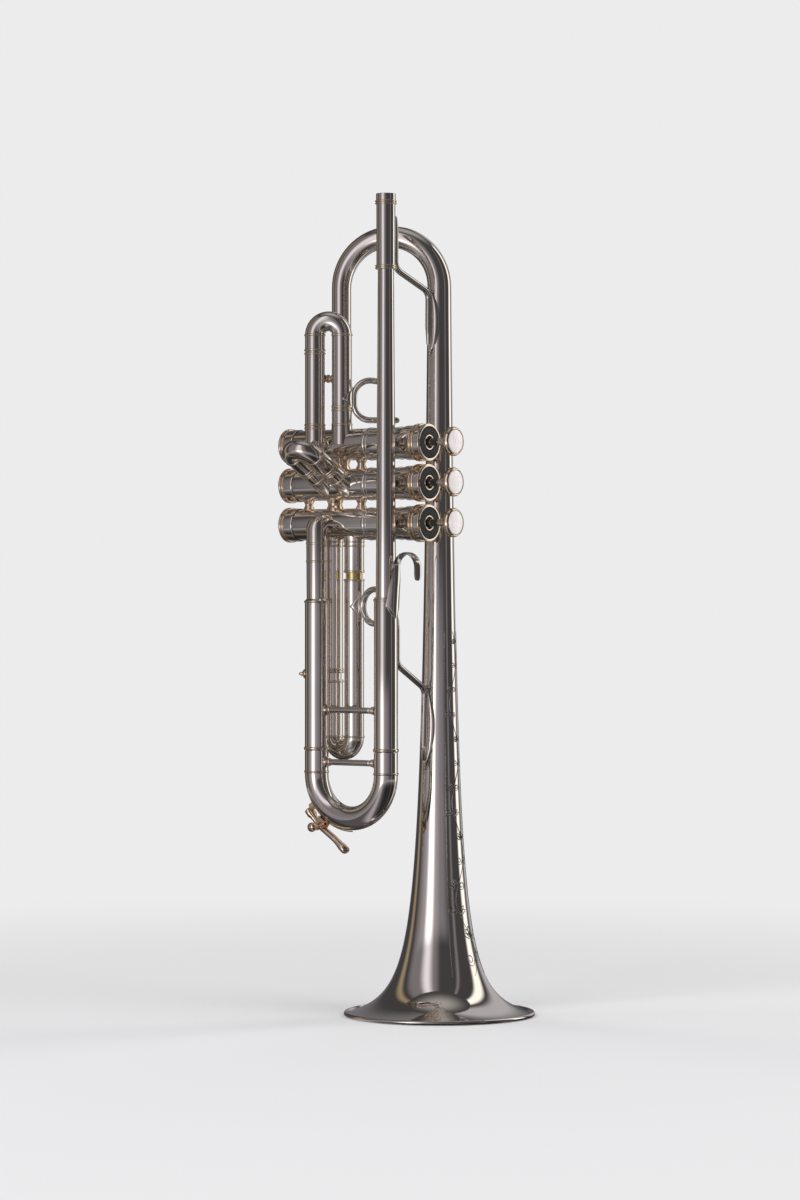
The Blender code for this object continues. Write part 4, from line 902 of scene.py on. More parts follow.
def flare_inside(outside):
    """The sheet's inside, one wall away, measured square to the sheet."""
    inside = []
    for height, radius in outside:
        slope = 2 * FLARE_HEIGHT * BELL_RADIUS ** 2 / radius ** 3
        length = math.hypot(slope, 1.0)
        inside.append((height - BELL_WALL / length, radius - BELL_WALL * slope / length))
    return inside


def rolled_bead():
    """The edge, rolled most of the way round a wire."""
    bead = []
    for step in range(BEAD_STEPS + 1):
        turn = BEAD_START - BEAD_SWEEP * step / BEAD_STEPS
        bead.append((BEAD_RADIUS * (1 + math.sin(turn)), BELL_RADIUS - BEAD_RADIUS * (1 - math.cos(turn))))
    return bead


def make_bell():
    outside = flare_outside()
    profile = outside[::-1] + rolled_bead() + flare_inside(outside)
    bm = bmesh.new()
    turned(bm, above(STEM_AXIS, 0.0), Z_AXIS, profile, 0, 0.0, BELL_SIDES)
    return place(bm, "bell_skin", "trumpet", [SILVER], ["bell_flare", "bell_stem"])


print(make_bell().name, "rim", round(2 * BELL_RADIUS / MM, 1), "mm across")

# %% [markdown]
# ## A graver's cut
# An engraver pushes a graver along the bell and leaves narrow bright-sided cuts. Each cut here is a
# thin ribbon laid on the flare by the same formula that spun it, wider in its middle than at its
# ends. It is drawn flat first, as a distance across from the pattern's middle line and a height,
# and then wrapped round the bell.

# %% A graver's cut
VINE_TURN = VIEW_TURN - math.pi / 2 + math.radians(52.0)
SKIN_GAP, CUT_LIFT, CUT_WIDTH = 0.02 * MM, 0.22 * MM, 0.75 * MM
CUT_TIP, CUT_START, CUT_SPAN = 0.25, 0.3, 0.6


def on_bell(across, height, lift):
    """A point lifted off the bell's skin, so far across from the vine's middle line."""
    radius = bell_radius(height)
    return above(STEM_AXIS, height) + heading(VINE_TURN + across / radius) * (radius + SKIN_GAP + lift)


def cut(bm, points, width=CUT_WIDTH):
    """A ribbon through flat points (across, height), tapered to both ends, with two sloping sides."""
    rails = []
    last = len(points) - 1
    for number, point in enumerate(points):
        ahead = Vector(points[min(number + 1, last)]) - Vector(points[max(number - 1, 0)])
        side = Vector((-ahead.y, ahead.x)).normalized()
        swell = math.sin(math.pi * (number + CUT_START) / (last + CUT_SPAN))
        half = width / 2 * (CUT_TIP + (1 - CUT_TIP) * swell)
        rail = []
        for part, lift in ((half, 0.0), (0.0, CUT_LIFT), (-half, 0.0)):
            spot = Vector(point) + side * part
            rail.append(bm.verts.new(on_bell(*spot, lift)))
        rails.append(rail)
    for near, far in zip(rails, rails[1:]):
        for left in (0, 1):
            bm.faces.new((near[left], near[left + 1], far[left + 1], far[left]))


print("a cut is", round(CUT_WIDTH / MM, 2), "mm wide")

# %% [markdown]
# ## Engraved vine
# A plain vine of curls and leaves runs up the bell's button side between two border lines. Its
# stalk is a sine wave that grows with the bell. Each bend of the stalk carries two curls, which
# wind inward on its two sides by turns, and three leaves fan out from the stalk beside each curl. A
# loop draws them all, so the pattern follows the bell if its size changes.

# %% Engraved vine
VINE_LOW, VINE_HIGH = 26.0 * MM, 236.0 * MM
VINE_BENDS, VINE_CURLS, VINE_STEPS = 7, 14, 160
VINE_SWING, BORDER_SHARE = 0.32, 0.62
STALK_WIDTH, BORDER_WIDTH = 0.8 * MM, 0.45 * MM
CURL_SIZE, CURL_REACH, CURL_RISE, CURL_CLOSE, CURL_STEPS = 0.17, 0.24, 2.0 * MM, 0.8, 24
LEAF_LENGTH, LEAF_BULGE, LEAF_STEPS = 0.36, 0.06, 8
LEAF_LEANS = (0.35, 0.8, 1.25)


def vine_middle(height):
    share = (height - VINE_LOW) / (VINE_HIGH - VINE_LOW)
    return VINE_SWING * bell_radius(height) * math.sin(math.pi * VINE_BENDS * share)


def curl(start, size, hand):
    """A curl that winds inward by one and a half turns."""
    points = []
    for step in range(CURL_STEPS + 1):
        turn = step / CURL_STEPS * 3 * math.pi + math.pi
        radius = size * (1 - CURL_CLOSE * step / CURL_STEPS)
        points.append((start[0] + hand * (radius * math.cos(turn)), start[1] + radius * math.sin(turn)))
    return points


def leaf_outline(start, length, lean, bulge):
    """One side of a leaf, from its foot to its tip."""
    points = []
    for step in range(LEAF_STEPS + 1):
        share = step / LEAF_STEPS
        out = bulge * math.sin(math.pi * share)
        points.append((start[0] + length * share * math.cos(lean) - out * math.sin(lean),
                       start[1] + length * share * math.sin(lean) + out * math.cos(lean)))
    return points


def make_engraving():
    bm = bmesh.new()
    heights = [VINE_LOW + (VINE_HIGH - VINE_LOW) * step / VINE_STEPS for step in range(VINE_STEPS + 1)]
    cut(bm, [(vine_middle(height), height) for height in heights], STALK_WIDTH)
    for edge in (-1, 1):
        cut(bm, [(edge * BORDER_SHARE * bell_radius(height), height) for height in heights], BORDER_WIDTH)
    for number in range(VINE_CURLS):
        height = VINE_LOW + (VINE_HIGH - VINE_LOW) * (number + 0.5) / VINE_CURLS
        room = bell_radius(height)
        hand = 1 if number % 2 else -1
        foot = (vine_middle(height), height)
        cut(bm, curl((foot[0] + hand * CURL_REACH * room, height + CURL_RISE), CURL_SIZE * room, hand))
        for lean in LEAF_LEANS:
            leaf_way = lean if hand < 0 else math.pi - lean
            for bulge in (-LEAF_BULGE, LEAF_BULGE):
                cut(bm, leaf_outline(foot, LEAF_LENGTH * room, leaf_way, bulge * room))
    return place(bm, "engraved_vine", "trumpet", [ENGRAVED], [])


print(make_engraving().name, "with", VINE_CURLS, "curls")

# %% [markdown]
# ## The bell bow
# The bow is one tapered tube, bent round in a half circle while it is filled with pitch so that it
# does not crease. It carries on as a straight tail into the first valve. Its end is shaped to the
# casing, as a fitter files it, so that no gap or step shows at the solder.

# %% Bell bow
BOW_LOW, BOW_HIGH = corners("bell_bow")
TAIL_RADIUS = 6.0 * MM
TAIL_AXIS = Vector((BOW_LOW.x + TAIL_RADIUS, BOW_LOW.y + TAIL_RADIUS, 0.0))
SOLDER_FLARE = 0.35 * MM
FLARE_RUN = 1.5 * MM
SEAT_REACH = 13.0 * MM


def make_bell_bow():
    start, end = above(STEM_AXIS, STEM_TOP), above(TAIL_AXIS, STEM_TOP)
    half = (end - start).length / 2
    seat = above(TAIL_AXIS, VALVES[0].z + SEAT_REACH)
    line = Line((start, start + Z_AXIS * half, end + Z_AXIS * half, seat), half)
    marks = [
        (0.0, bell_radius(STEM_TOP)), (math.pi * half, TAIL_RADIUS), (line.length - FLARE_RUN, TAIL_RADIUS),
        (line.length, TAIL_RADIUS + SOLDER_FLARE)]
    bm = bmesh.new()
    tube(bm, line, marks, TUBE_WALL, seats=(None, 0))
    return place(bm, "bell_bow_tube", "trumpet", [SILVER], ["bell_bow"])


print(make_bell_bow().name, "rises to", round(BOW_HIGH.z / MM, 1), "mm")

# %% [markdown]
# ## Leadpipe and receiver
# The receiver is turned from bar: a plain barrel with a pair of turned rings near each end and a
# tapered socket for the mouthpiece's shank. Below it the leadpipe grows wider on its way down to
# the tuning slide.

# %% Leadpipe and receiver
RECEIVER_LOW, RECEIVER_HIGH = corners("mouthpiece_receiver")
RECEIVER_RADIUS, RECEIVER_WAIST = 6.0 * MM, 5.8 * MM
SOCKET_MOUTH, SOCKET_THROAT, SOCKET_DEPTH = 4.9 * MM, 4.4 * MM, 30.0 * MM
UPPER_RING_DROP, RING_STEP = 6.0 * MM, 1.4 * MM
PIPE_HOLE, PIPE_TOP_RADIUS, PIPE_WALL, PIPE_SEAT = 5.2 * MM, 4.9 * MM, 0.6 * MM, 12.0 * MM


def make_receiver():
    foot = RECEIVER_LOW.z
    length = RECEIVER_HIGH.z - foot
    ring = length - UPPER_RING_DROP
    shoulder = ring + 1.6 * MM
    socket_floor = length - SOCKET_DEPTH
    bm = bmesh.new()
    turned(bm, above(PIPE_AXIS, foot), Z_AXIS, [
        (length, SOCKET_MOUTH), (length, RECEIVER_RADIUS), (shoulder, RECEIVER_RADIUS),
        (shoulder, RECEIVER_WAIST), (3.0 * MM, RECEIVER_WAIST), (2.4 * MM, RECEIVER_RADIUS),
        (0.0, RECEIVER_RADIUS), (0.0, PIPE_HOLE), (socket_floor, PIPE_HOLE),
        (socket_floor, SOCKET_THROAT)], 0, 0.3 * MM)
    heights = [foot + lowest + lift for lowest in (0.8 * MM, ring) for lift in (0.0, RING_STEP)]
    ringed(bm, PIPE_AXIS, RECEIVER_RADIUS, heights, width=1.2 * MM, proud=0.6 * MM)
    return place(bm, "receiver_barrel", "trumpet", [SILVER, CHAMPAGNE], ["mouthpiece_receiver"])


def make_leadpipe():
    low, high = corners("leadpipe")
    foot_radius = (high.x - low.x) / 2
    line = Line((above(PIPE_AXIS, low.z), above(PIPE_AXIS, high.z)))
    marks = [
        (0.0, foot_radius), (PIPE_SEAT, foot_radius), (RECEIVER_LOW.z - low.z, PIPE_TOP_RADIUS),
        (line.length, PIPE_TOP_RADIUS)]
    bm = bmesh.new()
    tube(bm, line, marks, PIPE_WALL)
    return place(bm, "leadpipe_tube", "trumpet", [SILVER], ["leadpipe"])


print(make_receiver().name, make_leadpipe().name)

# %% [markdown]
# ## Main sleeves
# Two fixed sleeves take the two legs of the tuning slide. Each ends in a ring. The upper one hangs
# under the leadpipe. The lower one narrows to a knuckle, which carries two more rings and turns
# sideways into the third valve.

# %% Main sleeves
MAIN_LOW, MAIN_HIGH = corners("upper_main_sleeve")
SLEEVE_END, SLEEVE_TOP = MAIN_LOW.z, MAIN_HIGH.z
LOWER_AXIS = Vector((middle_of("lower_main_sleeve").x, PIPE_AXIS.y, 0.0))
LOWER_SLEEVE_LENGTH = 93.0 * MM
KNUCKLE_RADIUS, KNUCKLE_BEND = 6.2 * MM, 4.0 * MM
KNUCKLE_RISE, KNUCKLE_DROP = 23.0 * MM, 12.0 * MM
END_RING = {"width": 2.2 * MM, "proud": 0.6 * MM}
END_RING_LIFT, TOP_RING_DROP = 1.1 * MM, 1.8 * MM


def make_upper_sleeve():
    line = Line((above(PIPE_AXIS, SLEEVE_END), above(PIPE_AXIS, SLEEVE_TOP)))
    marks = [(0.0, MAIN_RADIUS), (line.length - 1.2 * MM, MAIN_RADIUS), (line.length, MAIN_RADIUS - 0.4 * MM)]
    bm = bmesh.new()
    tube(bm, line, marks, TUBE_WALL)
    ringed(bm, PIPE_AXIS, MAIN_RADIUS, (SLEEVE_END + END_RING_LIFT,), **END_RING)
    ringed(bm, PIPE_AXIS, MAIN_RADIUS, (SLEEVE_TOP - TOP_RING_DROP,))
    return place(bm, "upper_sleeve_tube", "trumpet", [SILVER, CHAMPAGNE], ["upper_main_sleeve"])


def make_lower_sleeve():
    entry = VALVES[2].z
    seat = Vector((LOWER_AXIS.x, VALVES[2].y - SEAT_REACH, entry))
    line = Line((above(LOWER_AXIS, SLEEVE_END), above(LOWER_AXIS, entry), seat), KNUCKLE_BEND)
    marks = [
        (0.0, MAIN_RADIUS), (LOWER_SLEEVE_LENGTH - 1.0 * MM, MAIN_RADIUS),
        (LOWER_SLEEVE_LENGTH, KNUCKLE_RADIUS), (line.length, KNUCKLE_RADIUS + SOLDER_FLARE)]
    bm = bmesh.new()
    tube(bm, line, marks, TUBE_WALL, seats=(None, 2))
    top = SLEEVE_END + LOWER_SLEEVE_LENGTH
    ringed(bm, LOWER_AXIS, MAIN_RADIUS, (SLEEVE_END + END_RING_LIFT,), **END_RING)
    ringed(bm, LOWER_AXIS, MAIN_RADIUS, (top - TOP_RING_DROP,))
    ringed(bm, LOWER_AXIS, KNUCKLE_RADIUS, (top + KNUCKLE_RISE, entry - KNUCKLE_DROP))
    return place(bm, "lower_sleeve_tube", "trumpet", [SILVER, CHAMPAGNE], ["lower_main_sleeve"])


print(make_upper_sleeve().name, make_lower_sleeve().name)

# %% [markdown]
# ## Main crook
# The tuning slide is a U. Its legs are a close fit in the sleeves and greased, so it stays where it
# is pushed. Outside the sleeves the legs wear ferrules as wide as the sleeves, and a thin ring
# marks where each ferrule meets the bow. One tube with a step in its radius gives leg, ferrule and
# bow.

# %% Main crook
FERRULE_LENGTH, FERRULE_GAP = 14.0 * MM, 0.3 * MM


def make_main_crook():
    top = corners("main_slide_crook")[1].z
    half = (PIPE_AXIS.x - LOWER_AXIS.x) / 2
    joint = SLEEVE_END - FERRULE_LENGTH
    crown = joint - half
    line = Line((
        above(PIPE_AXIS, top), above(PIPE_AXIS, crown), above(LOWER_AXIS, crown),
        above(LOWER_AXIS, top)), half)
    leg = top - SLEEVE_END + FERRULE_GAP
    marks = [
        (0.0, MAIN_INNER), (leg, MAIN_INNER), (leg, MAIN_RADIUS), (line.length - leg, MAIN_RADIUS),
        (line.length - leg, MAIN_INNER), (line.length, MAIN_INNER)]
    bm = bmesh.new()
    tube(bm, line, marks, TUBE_WALL)
    for axis in (PIPE_AXIS, LOWER_AXIS):
        ringed(bm, axis, MAIN_RADIUS, (joint + 0.8 * MM,), width=1.5 * MM, proud=0.45 * MM)
    return place(bm, "main_crook_tube", "main_slide", [SILVER, CHAMPAGNE], ["main_slide_crook"])


print(make_main_crook().name)

# %% [markdown]
# ## Turned braces
# A slim rod keeps each pair of legs apart, one on the sleeves and one on the slide. It is turned in
# one piece, with a round foot soldered to each tube and a gilt bead beside the foot.

# %% Main braces
BRACE_ROD, BRACE_NECK, BRACE_FOOT = 1.9 * MM, 1.45 * MM, 3.5 * MM
BRACE_BEAD, BEAD_WIDTH, BEAD_PROUD = 3.0 * MM, 2.6 * MM, 0.9 * MM
BRACE_GAP = 0.1 * MM
SMALL_SIDES = 40


def turned_brace(bm, start, end):
    """A slim rod with a round foot and a gilt bead at each end."""
    way, length = (end - start).normalized(), (end - start).length
    profile = [
        (0.0, 0.0), (0.0, BRACE_FOOT), (0.6 * MM, BRACE_FOOT), (1.5 * MM, BRACE_NECK), (4.6 * MM, BRACE_NECK),
        (5.4 * MM, BRACE_ROD)]
    profile += [(length - height, radius) for height, radius in profile[::-1]]
    turned(bm, start, way, profile, 0, 0.25 * MM, SMALL_SIDES)
    for distance in (BRACE_BEAD, length - BRACE_BEAD):
        band(bm, start + way * distance, way, BRACE_NECK, 1, BEAD_WIDTH, BEAD_PROUD)


def make_main_brace(name, body, node):
    reach = X_AXIS * (MAIN_RADIUS + BRACE_GAP)
    height = middle_of(node).z
    bm = bmesh.new()
    turned_brace(bm, above(LOWER_AXIS, height) + reach, above(PIPE_AXIS, height) - reach)
    return place(bm, name, body, [SILVER, GOLD], [node])


sleeve_brace = make_main_brace("sleeve_brace_rod", "trumpet", "sleeve_brace")
slide_brace = make_main_brace("slide_brace_rod", "main_slide", "main_slide_brace")
print(sleeve_brace.name, slide_brace.name)

# %% [markdown]
# ## First slide
# The player's thumb moves this slide while playing. One leg slides inside a long fixed sleeve and
# the other covers a fixed stem, so the U cannot turn. Both fixed tubes are shaped to the first
# valve's casing.

# %% First slide, fixed tubes
FIRST_STEM = middle_of("first_slide_upper_stem")
FIRST_CROOK_LOW, FIRST_CROOK_HIGH = corners("first_slide_crook")
FIRST_LOWER = Vector((FIRST_CROOK_LOW.x + SIDE_RADIUS, FIRST_CROOK_LOW.y + SIDE_RADIUS, 0.0))
FIRST_ENTRY = VALVES[0].z
FIRST_SLEEVE_TOP = corners("first_slide_lower_sleeve")[1].z
FIRST_STEM_TOP = corners("first_slide_upper_stem")[1].z
FIRST_SHOULDER = FIRST_CROOK_LOW.z
FIRST_ELBOW, FIRST_SEAT_REACH = 2.4 * MM, 11.0 * MM


def make_first_sleeve():
    seat = Vector((FIRST_LOWER.x, VALVES[0].y - FIRST_SEAT_REACH, FIRST_ENTRY))
    line = Line((seat, above(FIRST_LOWER, FIRST_ENTRY), above(FIRST_LOWER, FIRST_SLEEVE_TOP)), FIRST_ELBOW)
    marks = [(0.0, SIDE_RADIUS + SOLDER_FLARE), (1.0 * MM, SIDE_RADIUS), (line.length, SIDE_RADIUS)]
    bm = bmesh.new()
    tube(bm, line, marks, TUBE_WALL, seats=(0, None))
    heights = (FIRST_ENTRY + 10.0 * MM, FIRST_ENTRY + 12.0 * MM, FIRST_SLEEVE_TOP - 0.9 * MM)
    ringed(bm, FIRST_LOWER, SIDE_RADIUS, heights)
    return place(bm, "first_long_sleeve", "trumpet", [SILVER, CHAMPAGNE], ["first_slide_lower_sleeve"])


def make_first_stem():
    line = Line((above(FIRST_STEM, FIRST_ENTRY + SEAT_REACH), above(FIRST_STEM, FIRST_STEM_TOP)))
    shoulder = FIRST_SHOULDER - FIRST_ENTRY - SEAT_REACH - FERRULE_GAP
    marks = [
        (0.0, SIDE_RADIUS + SOLDER_FLARE), (1.2 * MM, SIDE_RADIUS), (shoulder, SIDE_RADIUS),
        (shoulder, SIDE_INNER), (line.length, SIDE_INNER)]
    bm = bmesh.new()
    tube(bm, line, marks, TUBE_WALL, seats=(0, None))
    ringed(bm, FIRST_STEM, SIDE_RADIUS, (FIRST_SHOULDER - 1.2 * MM, FIRST_ENTRY + 12.2 * MM))
    return place(bm, "first_stem_tube", "trumpet", [SILVER, CHAMPAGNE], ["first_slide_upper_stem"])


print(make_first_sleeve().name, make_first_stem().name)

# %% [markdown]
# ## First crook and ball brace
# The crook's long leg is the smaller tube, and the rest is as wide as the sleeve. A small brace
# with a ball in its middle ties the long sleeve to the bell's tail, so that a hand on the slide
# can't bend either.

# %% First crook and ball brace
FIRST_LEG = 32.0 * MM
BALL_FOOT, BALL_COLLAR, BALL_NECK = 3.3 * MM, 2.4 * MM, 1.3 * MM
BALL_SHOULDER, BALL_RADIUS = 2.3 * MM, 2.7 * MM
BALL_PROFILE = (
    (0.3, BALL_NECK), (0.38, BALL_SHOULDER), (0.5, BALL_RADIUS), (0.62, BALL_SHOULDER), (0.7, BALL_NECK))


def make_first_crook():
    half = (above(FIRST_LOWER, 0.0) - above(FIRST_STEM, 0.0)).length / 2
    crown = FIRST_CROOK_HIGH.z - SIDE_RADIUS
    line = Line((
        above(FIRST_STEM, FIRST_SHOULDER), above(FIRST_STEM, crown), above(FIRST_LOWER, crown),
        above(FIRST_LOWER, FIRST_SLEEVE_TOP - FIRST_LEG)), half)
    step = line.length - FIRST_LEG - FERRULE_GAP
    marks = [(0.0, SIDE_RADIUS), (step, SIDE_RADIUS), (step, SIDE_INNER), (line.length, SIDE_INNER)]
    bm = bmesh.new()
    tube(bm, line, marks, TUBE_WALL)
    joint = crown - half
    ringed(bm, FIRST_STEM, SIDE_RADIUS, (joint, FIRST_SHOULDER + 1.0 * MM))
    ringed(bm, FIRST_LOWER, SIDE_RADIUS, (joint, FIRST_SLEEVE_TOP + 1.2 * MM))
    return place(bm, "first_crook_tube", "first_slide", [SILVER, CHAMPAGNE], ["first_slide_crook"])


def make_ball_brace():
    height = middle_of("first_slide_brace").z
    start, end = above(FIRST_LOWER, height), above(TAIL_AXIS, height)
    way = (end - start).normalized()
    span = (end - start).length - SIDE_RADIUS - TAIL_RADIUS
    profile = [(0.0, 0.0), (0.0, BALL_FOOT), (1.0 * MM, BALL_COLLAR)]
    profile += [(span * share, radius) for share, radius in BALL_PROFILE]
    profile += [(span - 1.0 * MM, BALL_COLLAR), (span, BALL_FOOT), (span, 0.0)]
    bm = bmesh.new()
    turned(bm, start + way * SIDE_RADIUS, way, profile, 0, 0.4 * MM, SMALL_SIDES)
    return place(bm, "first_ball_brace", "trumpet", [GOLD], ["first_slide_brace"])


print(make_first_crook().name, make_ball_brace().name)

# %% [markdown]
# ## Second slide
# The shortest slide sticks out sideways and up, clear of the player's hand. It is only pulled to
# tune it, so it has a plain U and two short sleeves. It lies along the way that its joint moves,
# which the frame gives.

# %% Second slide


def joint_of(name):
    return next(joint for joint in frame["joints"] if joint["name"] == name)


SECOND_WAY = Vector(joint_of("second_slide_pull")["axis"]).normalized()
SECOND_DROP = 4.0 * MM
SECOND_END, SECOND_JOINT, SECOND_LEG = 28.0 * MM, 42.0 * MM, 15.0 * MM
SECOND_SLEEVES = {side: middle_of(f"second_slide_{side}_sleeve").x for side in ("upper", "lower")}


def along_second(x, distance):
    return Vector((x, VALVES[1].y, VALVES[1].z - SECOND_DROP)) + SECOND_WAY * distance


def make_second_sleeve(side, x):
    line = Line((along_second(x, SEAT_REACH), along_second(x, SECOND_END)))
    marks = [(0.0, SIDE_RADIUS + SOLDER_FLARE), (FLARE_RUN, SIDE_RADIUS), (line.length, SIDE_RADIUS)]
    bm = bmesh.new()
    tube(bm, line, marks, TUBE_WALL, seats=(1, None))
    for distance in (SECOND_END - 0.8 * MM, SECOND_END - 2.4 * MM, SEAT_REACH + 5.0 * MM):
        band(bm, along_second(x, distance), SECOND_WAY, SIDE_RADIUS)
    return place(bm, f"second_{side}_tube", "trumpet", [SILVER, CHAMPAGNE], [f"second_slide_{side}_sleeve"])


def make_second_crook():
    upper, lower = SECOND_SLEEVES.values()
    half = abs(upper - lower) / 2
    foot, crown = SECOND_END - SECOND_LEG, SECOND_JOINT + half
    route = ((upper, foot), (upper, crown), (lower, crown), (lower, foot))
    line = Line([along_second(x, distance) for x, distance in route], half)
    leg = SECOND_LEG + FERRULE_GAP
    marks = [
        (0.0, SIDE_INNER), (leg, SIDE_INNER), (leg, SIDE_RADIUS), (line.length - leg, SIDE_RADIUS),
        (line.length - leg, SIDE_INNER), (line.length, SIDE_INNER)]
    bm = bmesh.new()
    tube(bm, line, marks, TUBE_WALL)
    for x in (upper, lower):
        for distance in (SECOND_END + 1.1 * MM, SECOND_JOINT):
            band(bm, along_second(x, distance), SECOND_WAY, SIDE_RADIUS)
    return place(bm, "second_crook_tube", "second_slide", [SILVER, CHAMPAGNE], ["second_slide_crook"])


print([make_second_sleeve(side, x).name for side, x in SECOND_SLEEVES.items()], make_second_crook().name)

# %% [markdown]
# ## Third slide
# The ring finger pushes this slide out to lower a few notes. Where its cover stops short of the
# fixed sleeve, a narrow band of bare brass shows: the plate stops at the sleeve, because this
# sliding face is left unplated. So the stem is two tubes in one piece, a plated one and a narrower
# brass one that comes out of it.

# %% Third slide
THIRD_STEM_FOOT = corners("third_slide_upper_stem")[0].z
THIRD_SLEEVE_FOOT = corners("third_slide_lower_sleeve")[0].z
THIRD_LOW, THIRD_HIGH = corners("third_slide_crook")
THIRD_UPPER, THIRD_LOWER = middle_of("third_slide_upper_stem"), middle_of("third_slide_lower_sleeve")
THIRD_ENTRY = VALVES[2].z - SEAT_REACH
THIRD_SHOULDER = VALVES[2].z - 30.0 * MM
THIRD_BEADS = (THIRD_ENTRY + 2.2 * MM, THIRD_ENTRY - 0.4 * MM)
THIRD_LEG, THIRD_PULLED = 45.0 * MM, 3.4 * MM


def third_fixed_tube(bm, axis, foot):
    """A plated tube that rises to the third valve."""
    line = Line((above(axis, foot), above(axis, THIRD_ENTRY)))
    marks = [
        (0.0, SIDE_RADIUS), (line.length - FLARE_RUN, SIDE_RADIUS), (line.length, SIDE_RADIUS + SOLDER_FLARE)]
    tube(bm, line, marks, TUBE_WALL, seats=(None, 2))


def make_third_sleeve():
    bm = bmesh.new()
    third_fixed_tube(bm, THIRD_LOWER, THIRD_SLEEVE_FOOT)
    heights = (THIRD_SLEEVE_FOOT + 0.8 * MM, THIRD_SLEEVE_FOOT + 2.4 * MM, *THIRD_BEADS)
    ringed(bm, THIRD_LOWER, SIDE_RADIUS, heights)
    return place(bm, "third_long_sleeve", "trumpet", [SILVER, CHAMPAGNE], ["third_slide_lower_sleeve"])


def make_third_stem():
    bm = bmesh.new()
    third_fixed_tube(bm, THIRD_UPPER, THIRD_SHOULDER)
    ringed(bm, THIRD_UPPER, SIDE_RADIUS, (THIRD_SHOULDER + 0.8 * MM, *THIRD_BEADS))
    line = Line((above(THIRD_UPPER, THIRD_STEM_FOOT), above(THIRD_UPPER, THIRD_SHOULDER + 1.0 * MM)))
    tube(bm, line, [(0.0, SIDE_INNER), (line.length, SIDE_INNER)], TUBE_WALL, 2)
    return place(bm, "third_stem_tube", "trumpet", [SILVER, CHAMPAGNE, BRASS], ["third_slide_upper_stem"])


def make_third_crook():
    half = (THIRD_UPPER.x - THIRD_LOWER.x) / 2
    crown = THIRD_LOW.z + SIDE_RADIUS
    line = Line((
        above(THIRD_UPPER, THIRD_HIGH.z), above(THIRD_UPPER, crown), above(THIRD_LOWER, crown),
        above(THIRD_LOWER, THIRD_SLEEVE_FOOT + THIRD_LEG)), half)
    step = line.length - THIRD_LEG - THIRD_PULLED - FERRULE_GAP
    marks = [(0.0, SIDE_RADIUS), (step, SIDE_RADIUS), (step, SIDE_INNER), (line.length, SIDE_INNER)]
    bm = bmesh.new()
    tube(bm, line, marks, TUBE_WALL)
    joint = crown + half
    ringed(bm, THIRD_UPPER, SIDE_RADIUS, (THIRD_HIGH.z - 0.8 * MM, joint))
    ringed(bm, THIRD_LOWER, SIDE_RADIUS, (joint, THIRD_SLEEVE_FOOT - 5.0 * MM))
    return place(bm, "third_crook_tube", "third_slide", [SILVER, CHAMPAGNE], ["third_slide_crook"])


print(make_third_sleeve().name, make_third_stem().name, make_third_crook().name)

# %% [markdown]
# ## Valve casings
# Each casing is a plain tube in two lengths, joined by a turned ring that shows as a raised line.
# The three stand in a row, so one loop makes them.

# %% Valve casings
SEAM_SHARE = 0.63
CASING_BANDS = (
    (SEAM_SHARE, 2.2 * MM, 0.5 * MM), (SEAM_SHARE + 0.025, 1.0 * MM, 0.35 * MM), (0.86, 1.2 * MM, 0.45 * MM))
CASING_WALL = 1.2 * MM


def make_casing(number, valve):
    low, high = corners(f"valve_casing_{number}")
    length = high.x - low.x
    start = Vector((low.x, valve.y, valve.z))
    bore = CASING_RADIUS - CASING_WALL
    profile = [(0.0, bore), (0.0, CASING_RADIUS), (length, CASING_RADIUS), (length, bore)]
    bm = bmesh.new()
    turned(bm, start, X_AXIS, profile, 0, 0.2 * MM)
    for share, width, proud in CASING_BANDS:
        band(bm, start + X_AXIS * length * share, X_AXIS, CASING_RADIUS, 0, width, proud, TURNED_SIDES)
    return place(bm, f"casing_{number}_tube", "trumpet", [SILVER], [f"valve_casing_{number}"])


print([make_casing(number, valve).name for number, valve in enumerate(VALVES, 1)])

# %% [markdown]
# ## Spools between the casings
# Short spools and tubes between the casings hold them in a block. They flare at both ends, where
# the solder runs, and their ends are shaped to the round casings. A row of rings gives the flare,
# and the helper that shapes the tubes' ends also shapes these.

# %% Crossovers and spacers
SPOOL_HALF = 1.8 * MM
SPOOL_SHARES = (-1.0, -0.75, -0.4, 0.0, 0.4, 0.75, 1.0)
SPOOLS = (
    ("crossover", 4.4 * MM, 1.0 * MM),
    ("upper_spacer", 2.5 * MM, 1.2 * MM),
    ("lower_spacer", 2.5 * MM, 1.2 * MM))


def make_spool(gap, kind, radius, flare):
    """A spool in a gap between two casings, wide at both ends."""
    node = f"{kind}_{gap + 1}_{gap + 2}"
    low, high = VALVES[gap + 1], VALVES[gap]
    middle = Vector((middle_of(node).x, high.y, (low.z + high.z) / 2))
    bm = bmesh.new()
    rings = []
    for share in SPOOL_SHARES:
        wide = radius + flare * abs(share) ** 3
        rings.append(circle(bm, middle + Z_AXIS * share * SPOOL_HALF, Z_AXIS, X_AXIS, wide, SMALL_SIDES))
    for ring, way, valve in ((rings[0], -Z_AXIS, gap + 1), (rings[-1], Z_AXIS, gap)):
        for point in ring:
            point.co = to_casing(point.co, way, valve)
    for near, far in zip(rings, rings[1:]):
        bridge(bm, near, far, 0)
    capped(bm, rings)
    return place(bm, f"{node}_spool", "trumpet", [GOLD], [node])


print([make_spool(gap, *spool).name for gap in (0, 1) for spool in SPOOLS])

# %% [markdown]
# ## Top caps
# The top cap screws on and guides the stem. It has rolled ridges for the fingers to grip, and a
# shallow dish with a collar in its middle. The cap is silver, and its ridges and the collar's face
# are gilt, so they are turned as pieces of their own in the same mesh.

